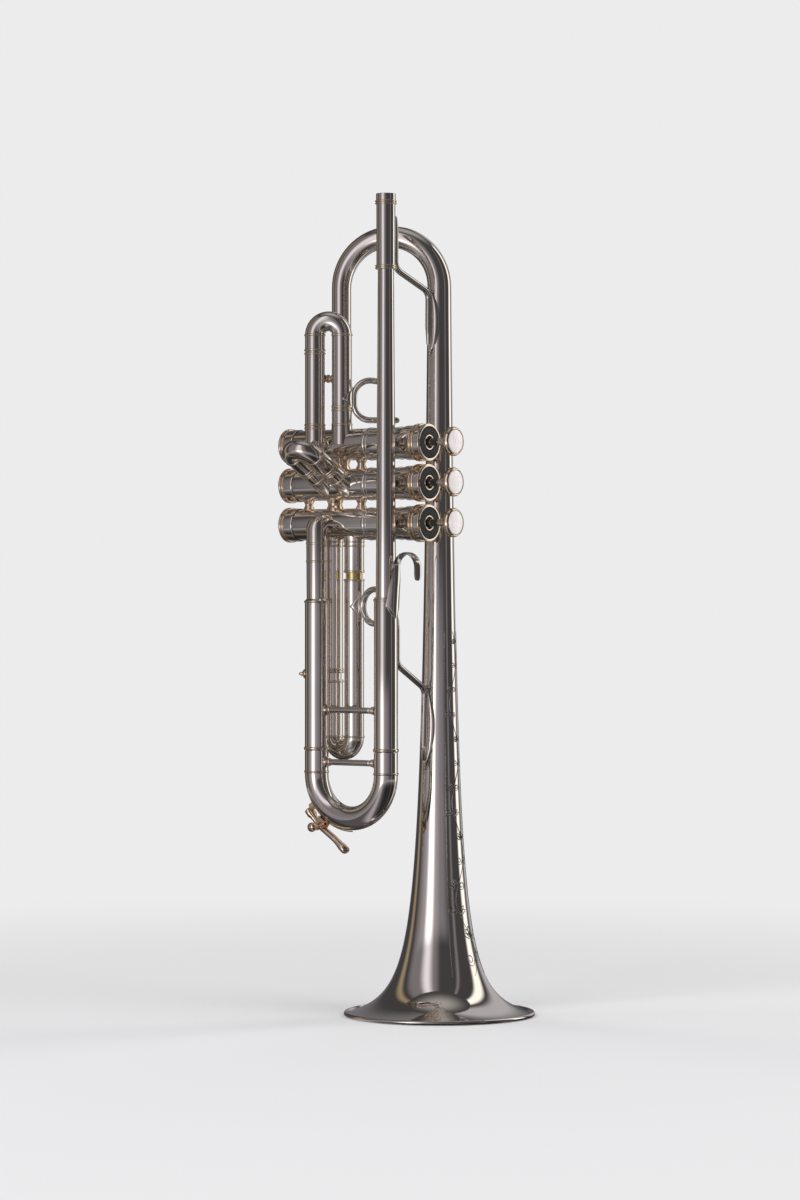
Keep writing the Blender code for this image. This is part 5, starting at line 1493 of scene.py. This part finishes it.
# %% Top caps
CAP_LOW, CAP_HIGH = corners("top_cap_1")
CAP_RADIUS = (CAP_HIGH.z - CAP_LOW.z) / 2
CAP_SIDE, CAP_SKIRT = CAP_RADIUS - 0.7 * MM, CAP_RADIUS - 1.0 * MM
CAP_BORE = CASING_RADIUS + 0.3 * MM
CAP_FACE = CAP_HIGH.x - CAP_LOW.x
CAP_DISH, CAP_UNDERSIDE = CAP_FACE - 1.3 * MM, CAP_FACE - 3.2 * MM
STEM_HOLE = 2.7 * MM
COLLAR_RADIUS, COLLAR_HOLE = 4.7 * MM, 3.75 * MM
COLLAR_FACE, COLLAR_FLOOR = CAP_FACE - 0.3 * MM, CAP_FACE - 1.9 * MM
CAP_RIDGES = ((8.0 * MM, 1.6 * MM), (10.2 * MM, 2.2 * MM), (CAP_FACE - 0.9 * MM, 1.6 * MM))
RIDGE_PROUD = 0.7 * MM


def make_top_cap(number, valve):
    foot = Vector((CAP_LOW.x, valve.y, valve.z))
    bm = bmesh.new()
    turned(bm, foot, X_AXIS, [
        (0.0, CAP_BORE), (0.0, CAP_SKIRT), (5.6 * MM, CAP_SKIRT), (6.4 * MM, CAP_SIDE),
        (CAP_FACE - 2.0 * MM, CAP_SIDE), (CAP_FACE, CAP_SKIRT), (CAP_FACE, CAP_RADIUS - 1.7 * MM),
        (CAP_DISH, CAP_RADIUS - 2.0 * MM), (CAP_DISH, COLLAR_RADIUS), (COLLAR_FACE, COLLAR_RADIUS - 0.2 * MM),
        (COLLAR_FACE, COLLAR_HOLE + 0.1 * MM), (COLLAR_FLOOR, COLLAR_HOLE), (COLLAR_FLOOR, STEM_HOLE),
        (CAP_UNDERSIDE, STEM_HOLE), (CAP_UNDERSIDE, CAP_BORE)], 0, 0.25 * MM)
    for height, width in CAP_RIDGES:
        band(bm, foot + X_AXIS * height, X_AXIS, CAP_SIDE, 1, width, RIDGE_PROUD, TURNED_SIDES)
    turned(bm, foot + X_AXIS * COLLAR_FACE, X_AXIS, [
        (0.0, COLLAR_HOLE + 0.05 * MM), (0.0, COLLAR_RADIUS - 0.05 * MM),
        (0.25 * MM, COLLAR_RADIUS - 0.15 * MM), (0.25 * MM, COLLAR_HOLE + 0.15 * MM)], 1, 0.1 * MM)
    return place(bm, f"top_cap_{number}_turned", "trumpet", [SILVER, GOLD], [f"top_cap_{number}"])


print("top caps", round(2 * CAP_RADIUS / MM, 1), "mm across")

# %% [markdown]
# ## Felts
# A black felt ring lies in the cap's dish and quiets the button when it comes down. A second,
# smaller ring lies in the collar round the stem. Felt is cut with a punch, so both are plain rings
# with a soft upper edge.

# %% Felts
FELT_INNER, FELT_OUTER = COLLAR_RADIUS + 0.1 * MM, CAP_RADIUS - 2.05 * MM
FELT_SHOULDER, FELT_TOP = CAP_FACE - 0.5 * MM, CAP_FACE - 0.35 * MM
WASHER_INNER, WASHER_OUTER = STEM_HOLE + 0.2 * MM, COLLAR_HOLE - 0.1 * MM
WASHER_FOOT, WASHER_TOP = 0.02 * MM, 0.9 * MM


def make_felt(number, valve):
    foot = Vector((CAP_LOW.x, valve.y, valve.z))
    bm = bmesh.new()
    turned(bm, foot, X_AXIS, [
        (CAP_DISH, FELT_INNER), (CAP_DISH, FELT_OUTER), (FELT_SHOULDER, FELT_OUTER),
        (FELT_TOP, CAP_RADIUS - 2.8 * MM), (FELT_TOP, COLLAR_RADIUS + 0.7 * MM), (FELT_SHOULDER, FELT_INNER)],
        0, 0.2 * MM)
    turned(bm, foot + X_AXIS * COLLAR_FLOOR, X_AXIS, [
        (WASHER_FOOT, WASHER_INNER), (WASHER_FOOT, WASHER_OUTER), (WASHER_TOP, WASHER_OUTER),
        (WASHER_TOP, WASHER_INNER)], 0, 0.15 * MM)
    return place(bm, f"felt_ring_{number}", "trumpet", [FELT], [f"cap_felt_{number}"])


print("felt", round((FELT_OUTER - FELT_INNER) / MM, 1), "mm wide")

# %% [markdown]
# ## Bottom caps
# The bottom cap closes the casing and takes the spring's push. Its face is a low dome with a small
# dimple in its middle, where a real cap has a hole that lets the air out. It has two finer ridges.

# %% Bottom caps
BOTTOM_RIDGES = (1.7 * MM, 3.8 * MM)
BOTTOM_RIDGE_WIDTH, BOTTOM_RIDGE_PROUD = 1.6 * MM, 0.6 * MM
DIMPLE_DEPTH, BOTTOM_FLOOR = 0.9 * MM, 2.2 * MM


def make_bottom_cap(number, valve):
    low, high = corners(f"bottom_cap_{number}")
    radius, length = (high.z - low.z) / 2, high.x - low.x
    side = radius - BOTTOM_RIDGE_PROUD
    foot = Vector((low.x, valve.y, valve.z))
    bm = bmesh.new()
    turned(bm, foot, X_AXIS, [
        (DIMPLE_DEPTH, 0.0), (DIMPLE_DEPTH, 1.2 * MM), (0.3 * MM, 1.6 * MM), (0.0, radius * 0.45),
        (0.25 * MM, radius * 0.8), (0.7 * MM, side), (length - 0.5 * MM, side), (length, radius - 0.8 * MM),
        (length, CAP_BORE), (BOTTOM_FLOOR, CAP_BORE), (BOTTOM_FLOOR, 0.0)], 0, 0.25 * MM)
    for height in BOTTOM_RIDGES:
        middle = foot + X_AXIS * height
        band(bm, middle, X_AXIS, side, 1, BOTTOM_RIDGE_WIDTH, BOTTOM_RIDGE_PROUD, TURNED_SIDES)
    return place(bm, f"bottom_cap_{number}_turned", "trumpet", [SILVER, GOLD], [f"bottom_cap_{number}"])


for number, valve in enumerate(VALVES, 1):
    print([make(number, valve).name for make in (make_top_cap, make_felt, make_bottom_cap)])

# %% [markdown]
# ## Buttons and shell inlays
# The button and its stem are screwed together: a gilt head on a silver stem, with a slice of shell
# let into a seat in its top. The shell is ground to a low dome, so the finger finds its middle.

# %% Buttons and shell inlays
STEM_RADIUS = 2.3 * MM
HEAD_THICK = 4.2 * MM
SHELL_SEAT, SHELL_RADIUS = 7.3 * MM, 7.05 * MM
SEAT_DEPTH, SHELL_DEPTH, SHELL_EDGE, SHELL_DOME = 1.4 * MM, 1.1 * MM, 0.1 * MM, 0.65 * MM
DOME_STEPS, DOME_POWER = 8, 1.5


def make_button(number, valve):
    low, high = corners(f"finger_button_{number}")
    radius, length = (high.z - low.z) / 2, high.x - low.x
    back = length - HEAD_THICK
    start = Vector((low.x, valve.y, valve.z))
    bm = bmesh.new()
    turned(bm, start, X_AXIS, [
        (0.0, 0.0), (0.0, STEM_RADIUS), (back - 1.0 * MM, STEM_RADIUS),
        (back - 0.2 * MM, STEM_RADIUS + 0.9 * MM), (back + 0.4 * MM, STEM_RADIUS + 1.4 * MM),
        (back + 0.4 * MM, 0.0)], 1, 0.35 * MM)
    turned(bm, start, X_AXIS, [
        (back, 0.0), (back, radius - 1.4 * MM), (back + 0.5 * MM, radius - 0.3 * MM),
        (back + 1.4 * MM, radius), (length - 1.6 * MM, radius), (length - 0.5 * MM, radius - 0.4 * MM),
        (length, radius - 1.0 * MM), (length, SHELL_SEAT), (length - SEAT_DEPTH, SHELL_SEAT),
        (length - SEAT_DEPTH, 0.0)], 0, 0.35 * MM)
    finishes, node = [GOLD, SILVER], f"finger_button_{number}"
    return place(bm, f"button_{number}_turned", f"valve_{number}", finishes, [node])


def make_inlay(number, valve):
    low, high = corners(f"finger_button_{number}")
    length = high.x - low.x
    floor_height, edge = length - SHELL_DEPTH, length - SHELL_EDGE
    dome = [(floor_height, 0.0), (floor_height, SHELL_RADIUS), (edge, SHELL_RADIUS)]
    for step in range(1, DOME_STEPS):
        share = step / DOME_STEPS
        rise = SHELL_DOME * math.sin(share * math.pi / 2)
        dome.append((edge + rise, SHELL_RADIUS * (1 - share ** DOME_POWER)))
    dome.append((edge + SHELL_DOME, 0.0))
    bm = bmesh.new()
    turned(bm, Vector((low.x, valve.y, valve.z)), X_AXIS, dome)
    return place(bm, f"shell_{number}_inlay", f"valve_{number}", [PEARL], [f"button_pearl_{number}"])


print("buttons have stems", round(2 * STEM_RADIUS / MM, 1), "mm thick")

# %% [markdown]
# ## Pistons and springs
# The piston and the spring stay inside the casing. The piston keeps the imported model's own shape
# and only gets its steel. The spring is a wire wound in a helix. It stands on the bottom cap and
# shortens as the valve goes down, and it gets a mesh of its own.

# %% Pistons and springs
SPRING_RADIUS, SPRING_WIRE = 6.45 * MM, 0.55 * MM
SPRING_TURNS, SPRING_STEPS, SPRING_SIDES = 6, 24, 8


def make_spring(number, valve):
    low, high = corners(f"valve_spring_{number}")
    whole = high.x - low.x
    start, length = Vector((low.x + SPRING_WIRE, valve.y, valve.z)), whole - 2 * SPRING_WIRE
    count = SPRING_TURNS * SPRING_STEPS
    points = []
    for step in range(count + 1):
        turn = 2 * math.pi * step / SPRING_STEPS
        ring = Vector((0.0, math.cos(turn), math.sin(turn))) * SPRING_RADIUS
        points.append(start + X_AXIS * length * step / count + ring)
    line = Line(points)
    bm = bmesh.new()
    wire(bm, line, [(stop, SPRING_WIRE) for stop in line.stops], SPRING_SIDES)
    spring = place(bm, f"spring_{number}_coil", "trumpet", [STEEL], [f"valve_spring_{number}"])
    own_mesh(spring)
    return spring


for number, valve in enumerate(VALVES, 1):
    for slot in frame["nodes"][f"piston_{number}"].material_slots:
        slot.material = STEEL
    print([make(number, valve).name for make in (make_button, make_inlay, make_spring)])

# %% [markdown]
# ## Solder plates
# Wire furniture ends on thin plates, which spread the load over the soft tube: long leaves under
# the two bell braces, and a diamond under the saddle and the ring. A plate is a patch of the tube's
# own surface, lifted in its middle and faded out at its edge, so it follows the tube exactly.

# %% Solder plates
PLATE_STEPS = 20
PLATE_SINK = 0.05 * MM
EDGE_POWER, END_SLOPE = 6, 12
PLATE_TIP, LEAF_POWER = 0.02, 0.8


def plate(bm, axis, facing, radius, low, high, width, shape, lift=0.7 * MM):
    """A thin plate on a round tube, from the tube's radius at a height and the outline's half width."""
    turn = math.atan2(facing.y, facing.x)
    rows = []
    for row in range(PLATE_STEPS + 1):
        share = 2 * row / PLATE_STEPS - 1
        height = low + (high - low) * row / PLATE_STEPS
        half = width / 2 * shape(share)
        points = []
        for column in range(PLATE_STEPS + 1):
            side = 2 * column / PLATE_STEPS - 1
            thick = lift * (1 - side ** EDGE_POWER) * min(1.0, END_SLOPE * (1 - abs(share)))
            reach = radius(height) - PLATE_SINK + thick
            out = heading(turn + side * half / radius(height))
            points.append(bm.verts.new(above(axis, height) + out * reach))
        rows.append(points)
    for near, far in zip(rows, rows[1:]):
        for column in range(PLATE_STEPS):
            bm.faces.new((near[column], near[column + 1], far[column + 1], far[column]))


def leaf_shape(share):
    return max(PLATE_TIP, 1 - share ** 2) ** LEAF_POWER


def diamond_shape(share):
    return max(PLATE_TIP, 1 - abs(share))


print("a plate has", PLATE_STEPS ** 2, "faces")

# %% [markdown]
# ## Bell braces
# Two S-shaped wires hold the bell away from the leadpipe. Each runs down the pipe, crosses over and
# runs down the bell's stem, and is hammered thin at its ends. A small ball closes each end of the
# leaf on the bell.

# %% Bell braces
BRACE_WAY = (above(STEM_AXIS, 0.0) - above(PIPE_AXIS, 0.0)).normalized()
BRACE_WIRE, BRACE_BEND = 1.9 * MM, 7.0 * MM
WIRE_GAP = 0.4 * MM
PIPE_LEAF_WIDTH, BELL_LEAF_WIDTH, BELL_LEAF_LIFT = 6.0 * MM, 12.0 * MM, 1.3 * MM
TIP_BALL, TIP_BALL_STEPS, TIP_BALL_LIFT = 1.4 * MM, 12, 0.5 * MM


def ball(bm, middle, radius):
    turns = [math.pi * step / TIP_BALL_STEPS for step in range(TIP_BALL_STEPS + 1)]
    profile = [(-math.cos(turn) * radius, abs(math.sin(turn)) * radius) for turn in turns]
    turned(bm, middle, Z_AXIS, profile, 0, 0.0, WIRE_SIDES)


def make_bell_brace(name, node, pipe_radius, straight, drop):
    low, high = corners(node)
    top, end = high.z, low.z
    bell_end = top - straight - drop
    near = above(PIPE_AXIS, 0.0) + BRACE_WAY * (pipe_radius + WIRE_GAP + BRACE_WIRE)
    points = [near + Z_AXIS * top, near + Z_AXIS * (top - straight)]
    for height in (bell_end, end):
        points.append(above(STEM_AXIS, height) - BRACE_WAY * (bell_radius(height) + WIRE_GAP + BRACE_WIRE))
    line = Line(points, BRACE_BEND)
    marks = [
        (0.0, 0.7 * MM), (1.5 * MM, 1.3 * MM), (9.0 * MM, BRACE_WIRE), (line.length - 12.0 * MM, BRACE_WIRE),
        (line.length - 1.5 * MM, 1.2 * MM), (line.length, 0.6 * MM)]
    bm = bmesh.new()
    wire(bm, line, marks)
    foot, head = top - straight * 0.96, top + 1.0 * MM
    plate(bm, PIPE_AXIS, BRACE_WAY, lambda height: pipe_radius, foot, head, PIPE_LEAF_WIDTH, leaf_shape)
    foot, head = end - 4.5 * MM, bell_end + 1.0 * MM
    plate(bm, STEM_AXIS, -BRACE_WAY, bell_radius, foot, head, BELL_LEAF_WIDTH, leaf_shape, BELL_LEAF_LIFT)
    for height in (foot, head):
        ball(bm, above(STEM_AXIS, height) - BRACE_WAY * (bell_radius(height) + TIP_BALL_LIFT), TIP_BALL)
    return place(bm, name, "trumpet", [SILVER], [node])


upper_brace = make_bell_brace("upper_brace_wire", "upper_bell_brace", RECEIVER_RADIUS, 32.0 * MM, 12.5 * MM)
lower_brace = make_bell_brace("lower_brace_wire", "lower_bell_brace", MAIN_RADIUS, 29.0 * MM, 15.0 * MM)
print(upper_brace.name, lower_brace.name)

# %% [markdown]
# ## Little finger hook
# The hook is bent from strip. Its foot is a kite that hugs the sleeve. It draws in to a neck and
# curls over in a half circle. A flat wire would stand off the round sleeve at its edges, so each
# cross-section is bowed as sharply as the sleeve at the foot and is nearly flat from the neck on.

# %% Little finger hook
HOOK_TURN = math.radians(-6.0)
HOOK_SPAN, HOOK_DROP, HOOK_SHEET = 17.6 * MM, 16.5 * MM, 1.5 * MM
HOOK_FOOT, HOOK_NECK = 13.0 * MM, 33.0 * MM
HOOK_COLUMNS, HOOK_STEPS = 10, 100
HOOK_FLAT = 0.01


def between(marks, distance):
    """The value at a distance along a list of (distance, value) marks."""
    for (near, first), (far, second) in zip(marks, marks[1:]):
        if distance <= far:
            return first + (second - first) * (distance - near) / (far - near)
    return marks[-1][1]


def strip_ring(bm, line, distance, across, half, bow):
    """One cross-section of a thin strip with round edges, bowed over a tube as sharply as bow says."""
    middle, way = line.at(distance)
    out = way.cross(across)
    points = []
    for face, columns in ((1, range(HOOK_COLUMNS + 1)), (-1, range(HOOK_COLUMNS - 1, 0, -1))):
        for column in columns:
            side = 2 * column / HOOK_COLUMNS - 1
            lift = face * HOOK_SHEET / 2 * (1 - side ** EDGE_POWER)
            turn = side * half * bow
            aside, drop = math.sin(turn) / bow, (1 - math.cos(turn)) / bow
            points.append(bm.verts.new(middle + across * aside + out * (lift - drop)))
    return points


def make_hook():
    crown = corners("little_finger_hook")[1].z - HOOK_SHEET
    way = heading(HOOK_TURN)
    foot = above(PIPE_AXIS, SLEEVE_TOP - HOOK_FOOT) + way * (MAIN_RADIUS + 0.1 * MM)
    near = above(PIPE_AXIS, crown) + way * (MAIN_RADIUS + 1.6 * MM)
    far = near + way * HOOK_SPAN
    line = Line((foot, near - Z_AXIS * HOOK_DROP, near, far, far - Z_AXIS * HOOK_DROP), HOOK_SPAN / 2)
    end = line.length
    widths = [
        (0.0, 0.3 * MM), (7.4 * MM, 6.5 * MM), (HOOK_NECK, 3.1 * MM), (end - 3.0 * MM, 3.1 * MM),
        (end - 1.4 * MM, 2.7 * MM), (end - 0.5 * MM, 1.9 * MM), (end, 0.6 * MM)]
    bows = [
        (0.0, 1.0), (HOOK_NECK / 2, 1.0), (HOOK_NECK, 0.2), (HOOK_NECK + HOOK_SPAN / 2, HOOK_FLAT),
        (end, HOOK_FLAT)]
    stations = {round(end * step / HOOK_STEPS, 6) for step in range(HOOK_STEPS + 1)}
    stations |= {distance for distance, half in widths}
    bm = bmesh.new()
    rings = []
    for distance in sorted(stations):
        bow = between(bows, distance) / MAIN_RADIUS
        rings.append(strip_ring(bm, line, distance, way.cross(Z_AXIS), between(widths, distance), bow))
    for ring, after in zip(rings, rings[1:]):
        bridge(bm, ring, after, 0)
    capped(bm, rings)
    return place(bm, "finger_hook_strip", "trumpet", [SILVER], ["little_finger_hook"])


print(make_hook().name)

# %% [markdown]
# ## Thumb saddle and finger ring
# The thumb sits in a U of wire on the first slide, and the ring finger in a ring on the third, to
# move them while playing. Both are soldered on with a diamond plate. The saddle is a wire with
# rounded tips, and the ring is an oval profile spun round the finger's axis.

# %% Thumb saddle and finger ring
GRIP_WAY = heading(math.radians(40.0))
GRIP_WIRE, GRIP_TIP, GRIP_ROUND = 1.9 * MM, 0.9 * MM, 1.5 * MM
SADDLE_REACH, SADDLE_SHORT, SADDLE_SLOPE, SADDLE_BEND = 28.0 * MM, 4.0 * MM, 3.5 * MM, 10.0 * MM
SADDLE_SINK = 0.6 * MM
DIAMOND_HALF, SADDLE_DIAMOND, RING_DIAMOND = 8.0 * MM, 20.0 * MM, 15.0 * MM
RING_STEPS, RING_SIDES, RING_OVAL = 20, 80, 1.15


def diamond(bm, axis, facing, height, width):
    """A diamond plate on a side slide's tube."""
    low, high = height - DIAMOND_HALF, height + DIAMOND_HALF
    plate(bm, axis, facing, lambda along: SIDE_RADIUS, low, high, width, diamond_shape)


def make_saddle():
    low, high = corners("thumb_saddle")
    back = above(FIRST_STEM, 0.0) + GRIP_WAY * (SIDE_RADIUS - SADDLE_SINK + GRIP_WIRE)
    tip = back + GRIP_WAY * SADDLE_REACH
    top, foot = high.z - GRIP_WIRE, low.z + GRIP_WIRE
    short_tip = tip - GRIP_WAY * SADDLE_SHORT + Z_AXIS * (top - SADDLE_SLOPE)
    line = Line((short_tip, back + Z_AXIS * top, back + Z_AXIS * foot, tip + Z_AXIS * foot), SADDLE_BEND)
    rounding = [(0.0, GRIP_TIP), (0.6 * MM, GRIP_ROUND), (2.0 * MM, GRIP_WIRE)]
    marks = rounding + [(line.length - distance, radius) for distance, radius in rounding[::-1]]
    bm = bmesh.new()
    wire(bm, line, marks)
    diamond(bm, FIRST_STEM, GRIP_WAY, (top + foot) / 2, SADDLE_DIAMOND)
    return place(bm, "thumb_saddle_wire", "first_slide", [SILVER], ["thumb_saddle"])


def make_ring():
    low, high = corners("finger_ring")
    middle = (low + high) / 2
    way = (above(middle, 0.0) - above(THIRD_UPPER, 0.0)).normalized()
    mean = (high.z - low.z) / 2 - GRIP_WIRE
    profile = []
    for step in range(RING_STEPS):
        turn = 2 * math.pi * step / RING_STEPS
        profile.append((GRIP_WIRE * RING_OVAL * math.sin(turn), mean + GRIP_WIRE * math.cos(turn)))
    bm = bmesh.new()
    turned(bm, middle, way.cross(Z_AXIS), profile, 0, 0.0, RING_SIDES)
    diamond(bm, THIRD_UPPER, way, middle.z, RING_DIAMOND)
    return place(bm, "finger_ring_wire", "third_slide", [SILVER], ["finger_ring"])


print(make_saddle().name, make_ring().name)

# %% [markdown]
# ## Stud
# A small turned stud sticks out of the lower main sleeve. Its foot is wide for the solder and its
# tip is a point.

# %% Stud
STUD_SINK = 0.2 * MM


def make_stud():
    middle = above(LOWER_AXIS, middle_of("sleeve_stud").z)
    profile = [
        (0.0, 0.0), (0.0, 3.0 * MM), (0.9 * MM, 2.6 * MM), (1.6 * MM, 1.3 * MM), (3.2 * MM, 1.0 * MM),
        (4.0 * MM, 0.0)]
    bm = bmesh.new()
    turned(bm, middle - GRIP_WAY * (MAIN_RADIUS - STUD_SINK), -GRIP_WAY, profile, 0, 0.3 * MM, SMALL_SIDES)
    return place(bm, "stud_turned", "trumpet", [GOLD], ["sleeve_stud"])


print(make_stud().name)

# %% [markdown]
# ## Water key lever
# A sprung lever holds a cork over a small hole in the bow, and the player lifts it to let the water
# out. It is cast, so its outline swells at the cork and at the finger end. A wire with a changing
# radius gives the outline, and the wire is then pressed flatter, as the casting is. Places on the
# bow are given by an angle and a distance off it.

# %% Water key lever
KEY_PIVOT = Vector(joint_of("water_key_swing")["pos_m"])
BOW_MIDDLE = Vector(((PIPE_AXIS.x + LOWER_AXIS.x) / 2, PIPE_AXIS.y, SLEEVE_END - FERRULE_LENGTH))
BOW_OUTSIDE = (PIPE_AXIS.x - LOWER_AXIS.x) / 2 + MAIN_RADIUS
KEY_WIDE, KEY_THIN, KEY_BEND = 1.15, 0.85, 1.5 * MM


def key_point(degrees, standoff):
    """A place so far off the bow's outside, at an angle below its level end."""
    angle = math.radians(degrees)
    return BOW_MIDDLE - Vector((math.cos(angle), 0.0, math.sin(angle))) * (BOW_OUTSIDE + standoff)


CORK_END = key_point(34.0, 6.0 * MM)


def flattened(rings, across, wide, thin):
    """Presses a round wire into a strip, wide one way and thin the other."""
    for ring in rings:
        middle = sum((point.co for point in ring), Vector()) / len(ring)
        for point in ring:
            offset = point.co - middle
            sideways = across * offset.dot(across)
            point.co = middle + sideways * wide + (offset - sideways) * thin


def make_lever():
    line = Line((CORK_END, KEY_PIVOT, key_point(72.0, 7.6 * MM), key_point(86.0, 13.3 * MM)), KEY_BEND)
    arm = (KEY_PIVOT - CORK_END).length
    end = line.length
    marks = [
        (0.0, 2.2 * MM), (0.6 * MM, 3.0 * MM), (4.4 * MM, 3.1 * MM), (6.0 * MM, 2.3 * MM),
        (arm - 3.0 * MM, 2.1 * MM), (arm - 1.2 * MM, 2.1 * MM), (arm + 1.2 * MM, 2.1 * MM),
        (arm + 3.2 * MM, 2.1 * MM), (end - 9.0 * MM, 2.2 * MM), (end - 4.5 * MM, 2.8 * MM),
        (end - 1.2 * MM, 2.8 * MM), (end - 0.3 * MM, 2.2 * MM), (end, 1.3 * MM)]
    bm = bmesh.new()
    rings = skin(bm, line, marks, WIRE_SIDES, 0)
    flattened(rings, Y_AXIS, KEY_WIDE, KEY_THIN)
    capped(bm, rings)
    return place(bm, "water_lever_cast", "water_key", [GOLD], ["water_key_lever"])


print(make_lever().name)

# %% [markdown]
# ## Water key spring and ears
# A thin brass wire lies along the bow under the lever and pushes its finger end outwards. The lever
# hangs between two ears on a small base plate. The ears are flat castings with round heads, so each
# is an outline with a thickness.

# %% Water key spring and ears
KEY_SPRING, KEY_SPRING_LIFT, KEY_SPRING_SIDES = 0.4 * MM, 0.6 * MM, 10
EAR_INNER, EAR_OUTER, EAR_SINK = 2.5 * MM, 4.1 * MM, 0.3 * MM
EAR_HALF = ((2.6 * MM, 0.0), (2.3 * MM, 4.5 * MM), (2.0 * MM, 7.0 * MM), (1.2 * MM, 8.4 * MM))
EAR_OUTLINE = [(-wide, high) for wide, high in EAR_HALF] + [(0.0, 8.8 * MM)] + list(EAR_HALF[::-1])
BASE_HALF, BASE_THICK = 2.6 * MM, 1.4 * MM


def make_key_spring():
    line = Line([key_point(degrees, KEY_SPRING_LIFT) for degrees in range(56, 93, 3)])
    bm = bmesh.new()
    wire(bm, line, [(stop, KEY_SPRING) for stop in line.stops], KEY_SPRING_SIDES)
    return place(bm, "water_key_spring", "main_slide", [BRASS], [])


def slab(bm, near, far):
    """A flat piece between two outlines."""
    faces = [[bm.verts.new(point) for point in outline] for outline in (near, far)]
    bridge(bm, *faces, 0)
    capped(bm, faces)


def make_ears():
    out = (KEY_PIVOT - BOW_MIDDLE).normalized()
    along = Y_AXIS.cross(out)
    base = BOW_MIDDLE + out * (BOW_OUTSIDE - EAR_SINK)
    outline = [base + along * wide + out * high for wide, high in EAR_OUTLINE]
    bm = bmesh.new()
    for side in (-1, 1):
        slab(bm, *[[point + Y_AXIS * side * depth for point in outline] for depth in (EAR_INNER, EAR_OUTER)])
    foot = [base + (along * x + Y_AXIS * y) * BASE_HALF for x, y in SQUARE]
    slab(bm, foot, [point + out * BASE_THICK for point in foot])
    return place(bm, "water_key_ears", "main_slide", [GOLD], ["water_key_saddle"])


print(make_key_spring().name, make_ears().name)

# %% [markdown]
# ## Water key screw and cork
# The lever turns on a screw with a ball head, which goes through both ears. The cork is a small
# plug under the lever's end that meets the bow square on.

# %% Water key screw and cork
PIN_PROFILE = (
    (-5.0 * MM, 0.0), (-5.0 * MM, 1.5 * MM), (-4.15 * MM, 1.6 * MM), (-4.15 * MM, 0.9 * MM),
    (5.6 * MM, 0.9 * MM), (6.4 * MM, 1.1 * MM), (7.0 * MM, 2.2 * MM), (8.0 * MM, 2.9 * MM),
    (9.4 * MM, 2.9 * MM), (10.5 * MM, 2.0 * MM), (11.1 * MM, 0.0))
CORK_PROFILE = ((0.15 * MM, 0.0), (0.15 * MM, 2.2 * MM), (3.4 * MM, 2.3 * MM), (3.4 * MM, 0.0))


def make_pin():
    bm = bmesh.new()
    turned(bm, KEY_PIVOT, -Y_AXIS, PIN_PROFILE, 0, 0.5 * MM, SMALL_SIDES)
    return place(bm, "water_key_pin", "main_slide", [GOLD], ["water_key_screw"])


def make_cork():
    way = (CORK_END - BOW_MIDDLE).normalized()
    bm = bmesh.new()
    turned(bm, BOW_MIDDLE + way * BOW_OUTSIDE, way, CORK_PROFILE, 0, 0.3 * MM, SMALL_SIDES)
    return place(bm, "cork_pad", "water_key", [CORK], ["water_key_cork"])


print(make_pin().name, make_cork().name)
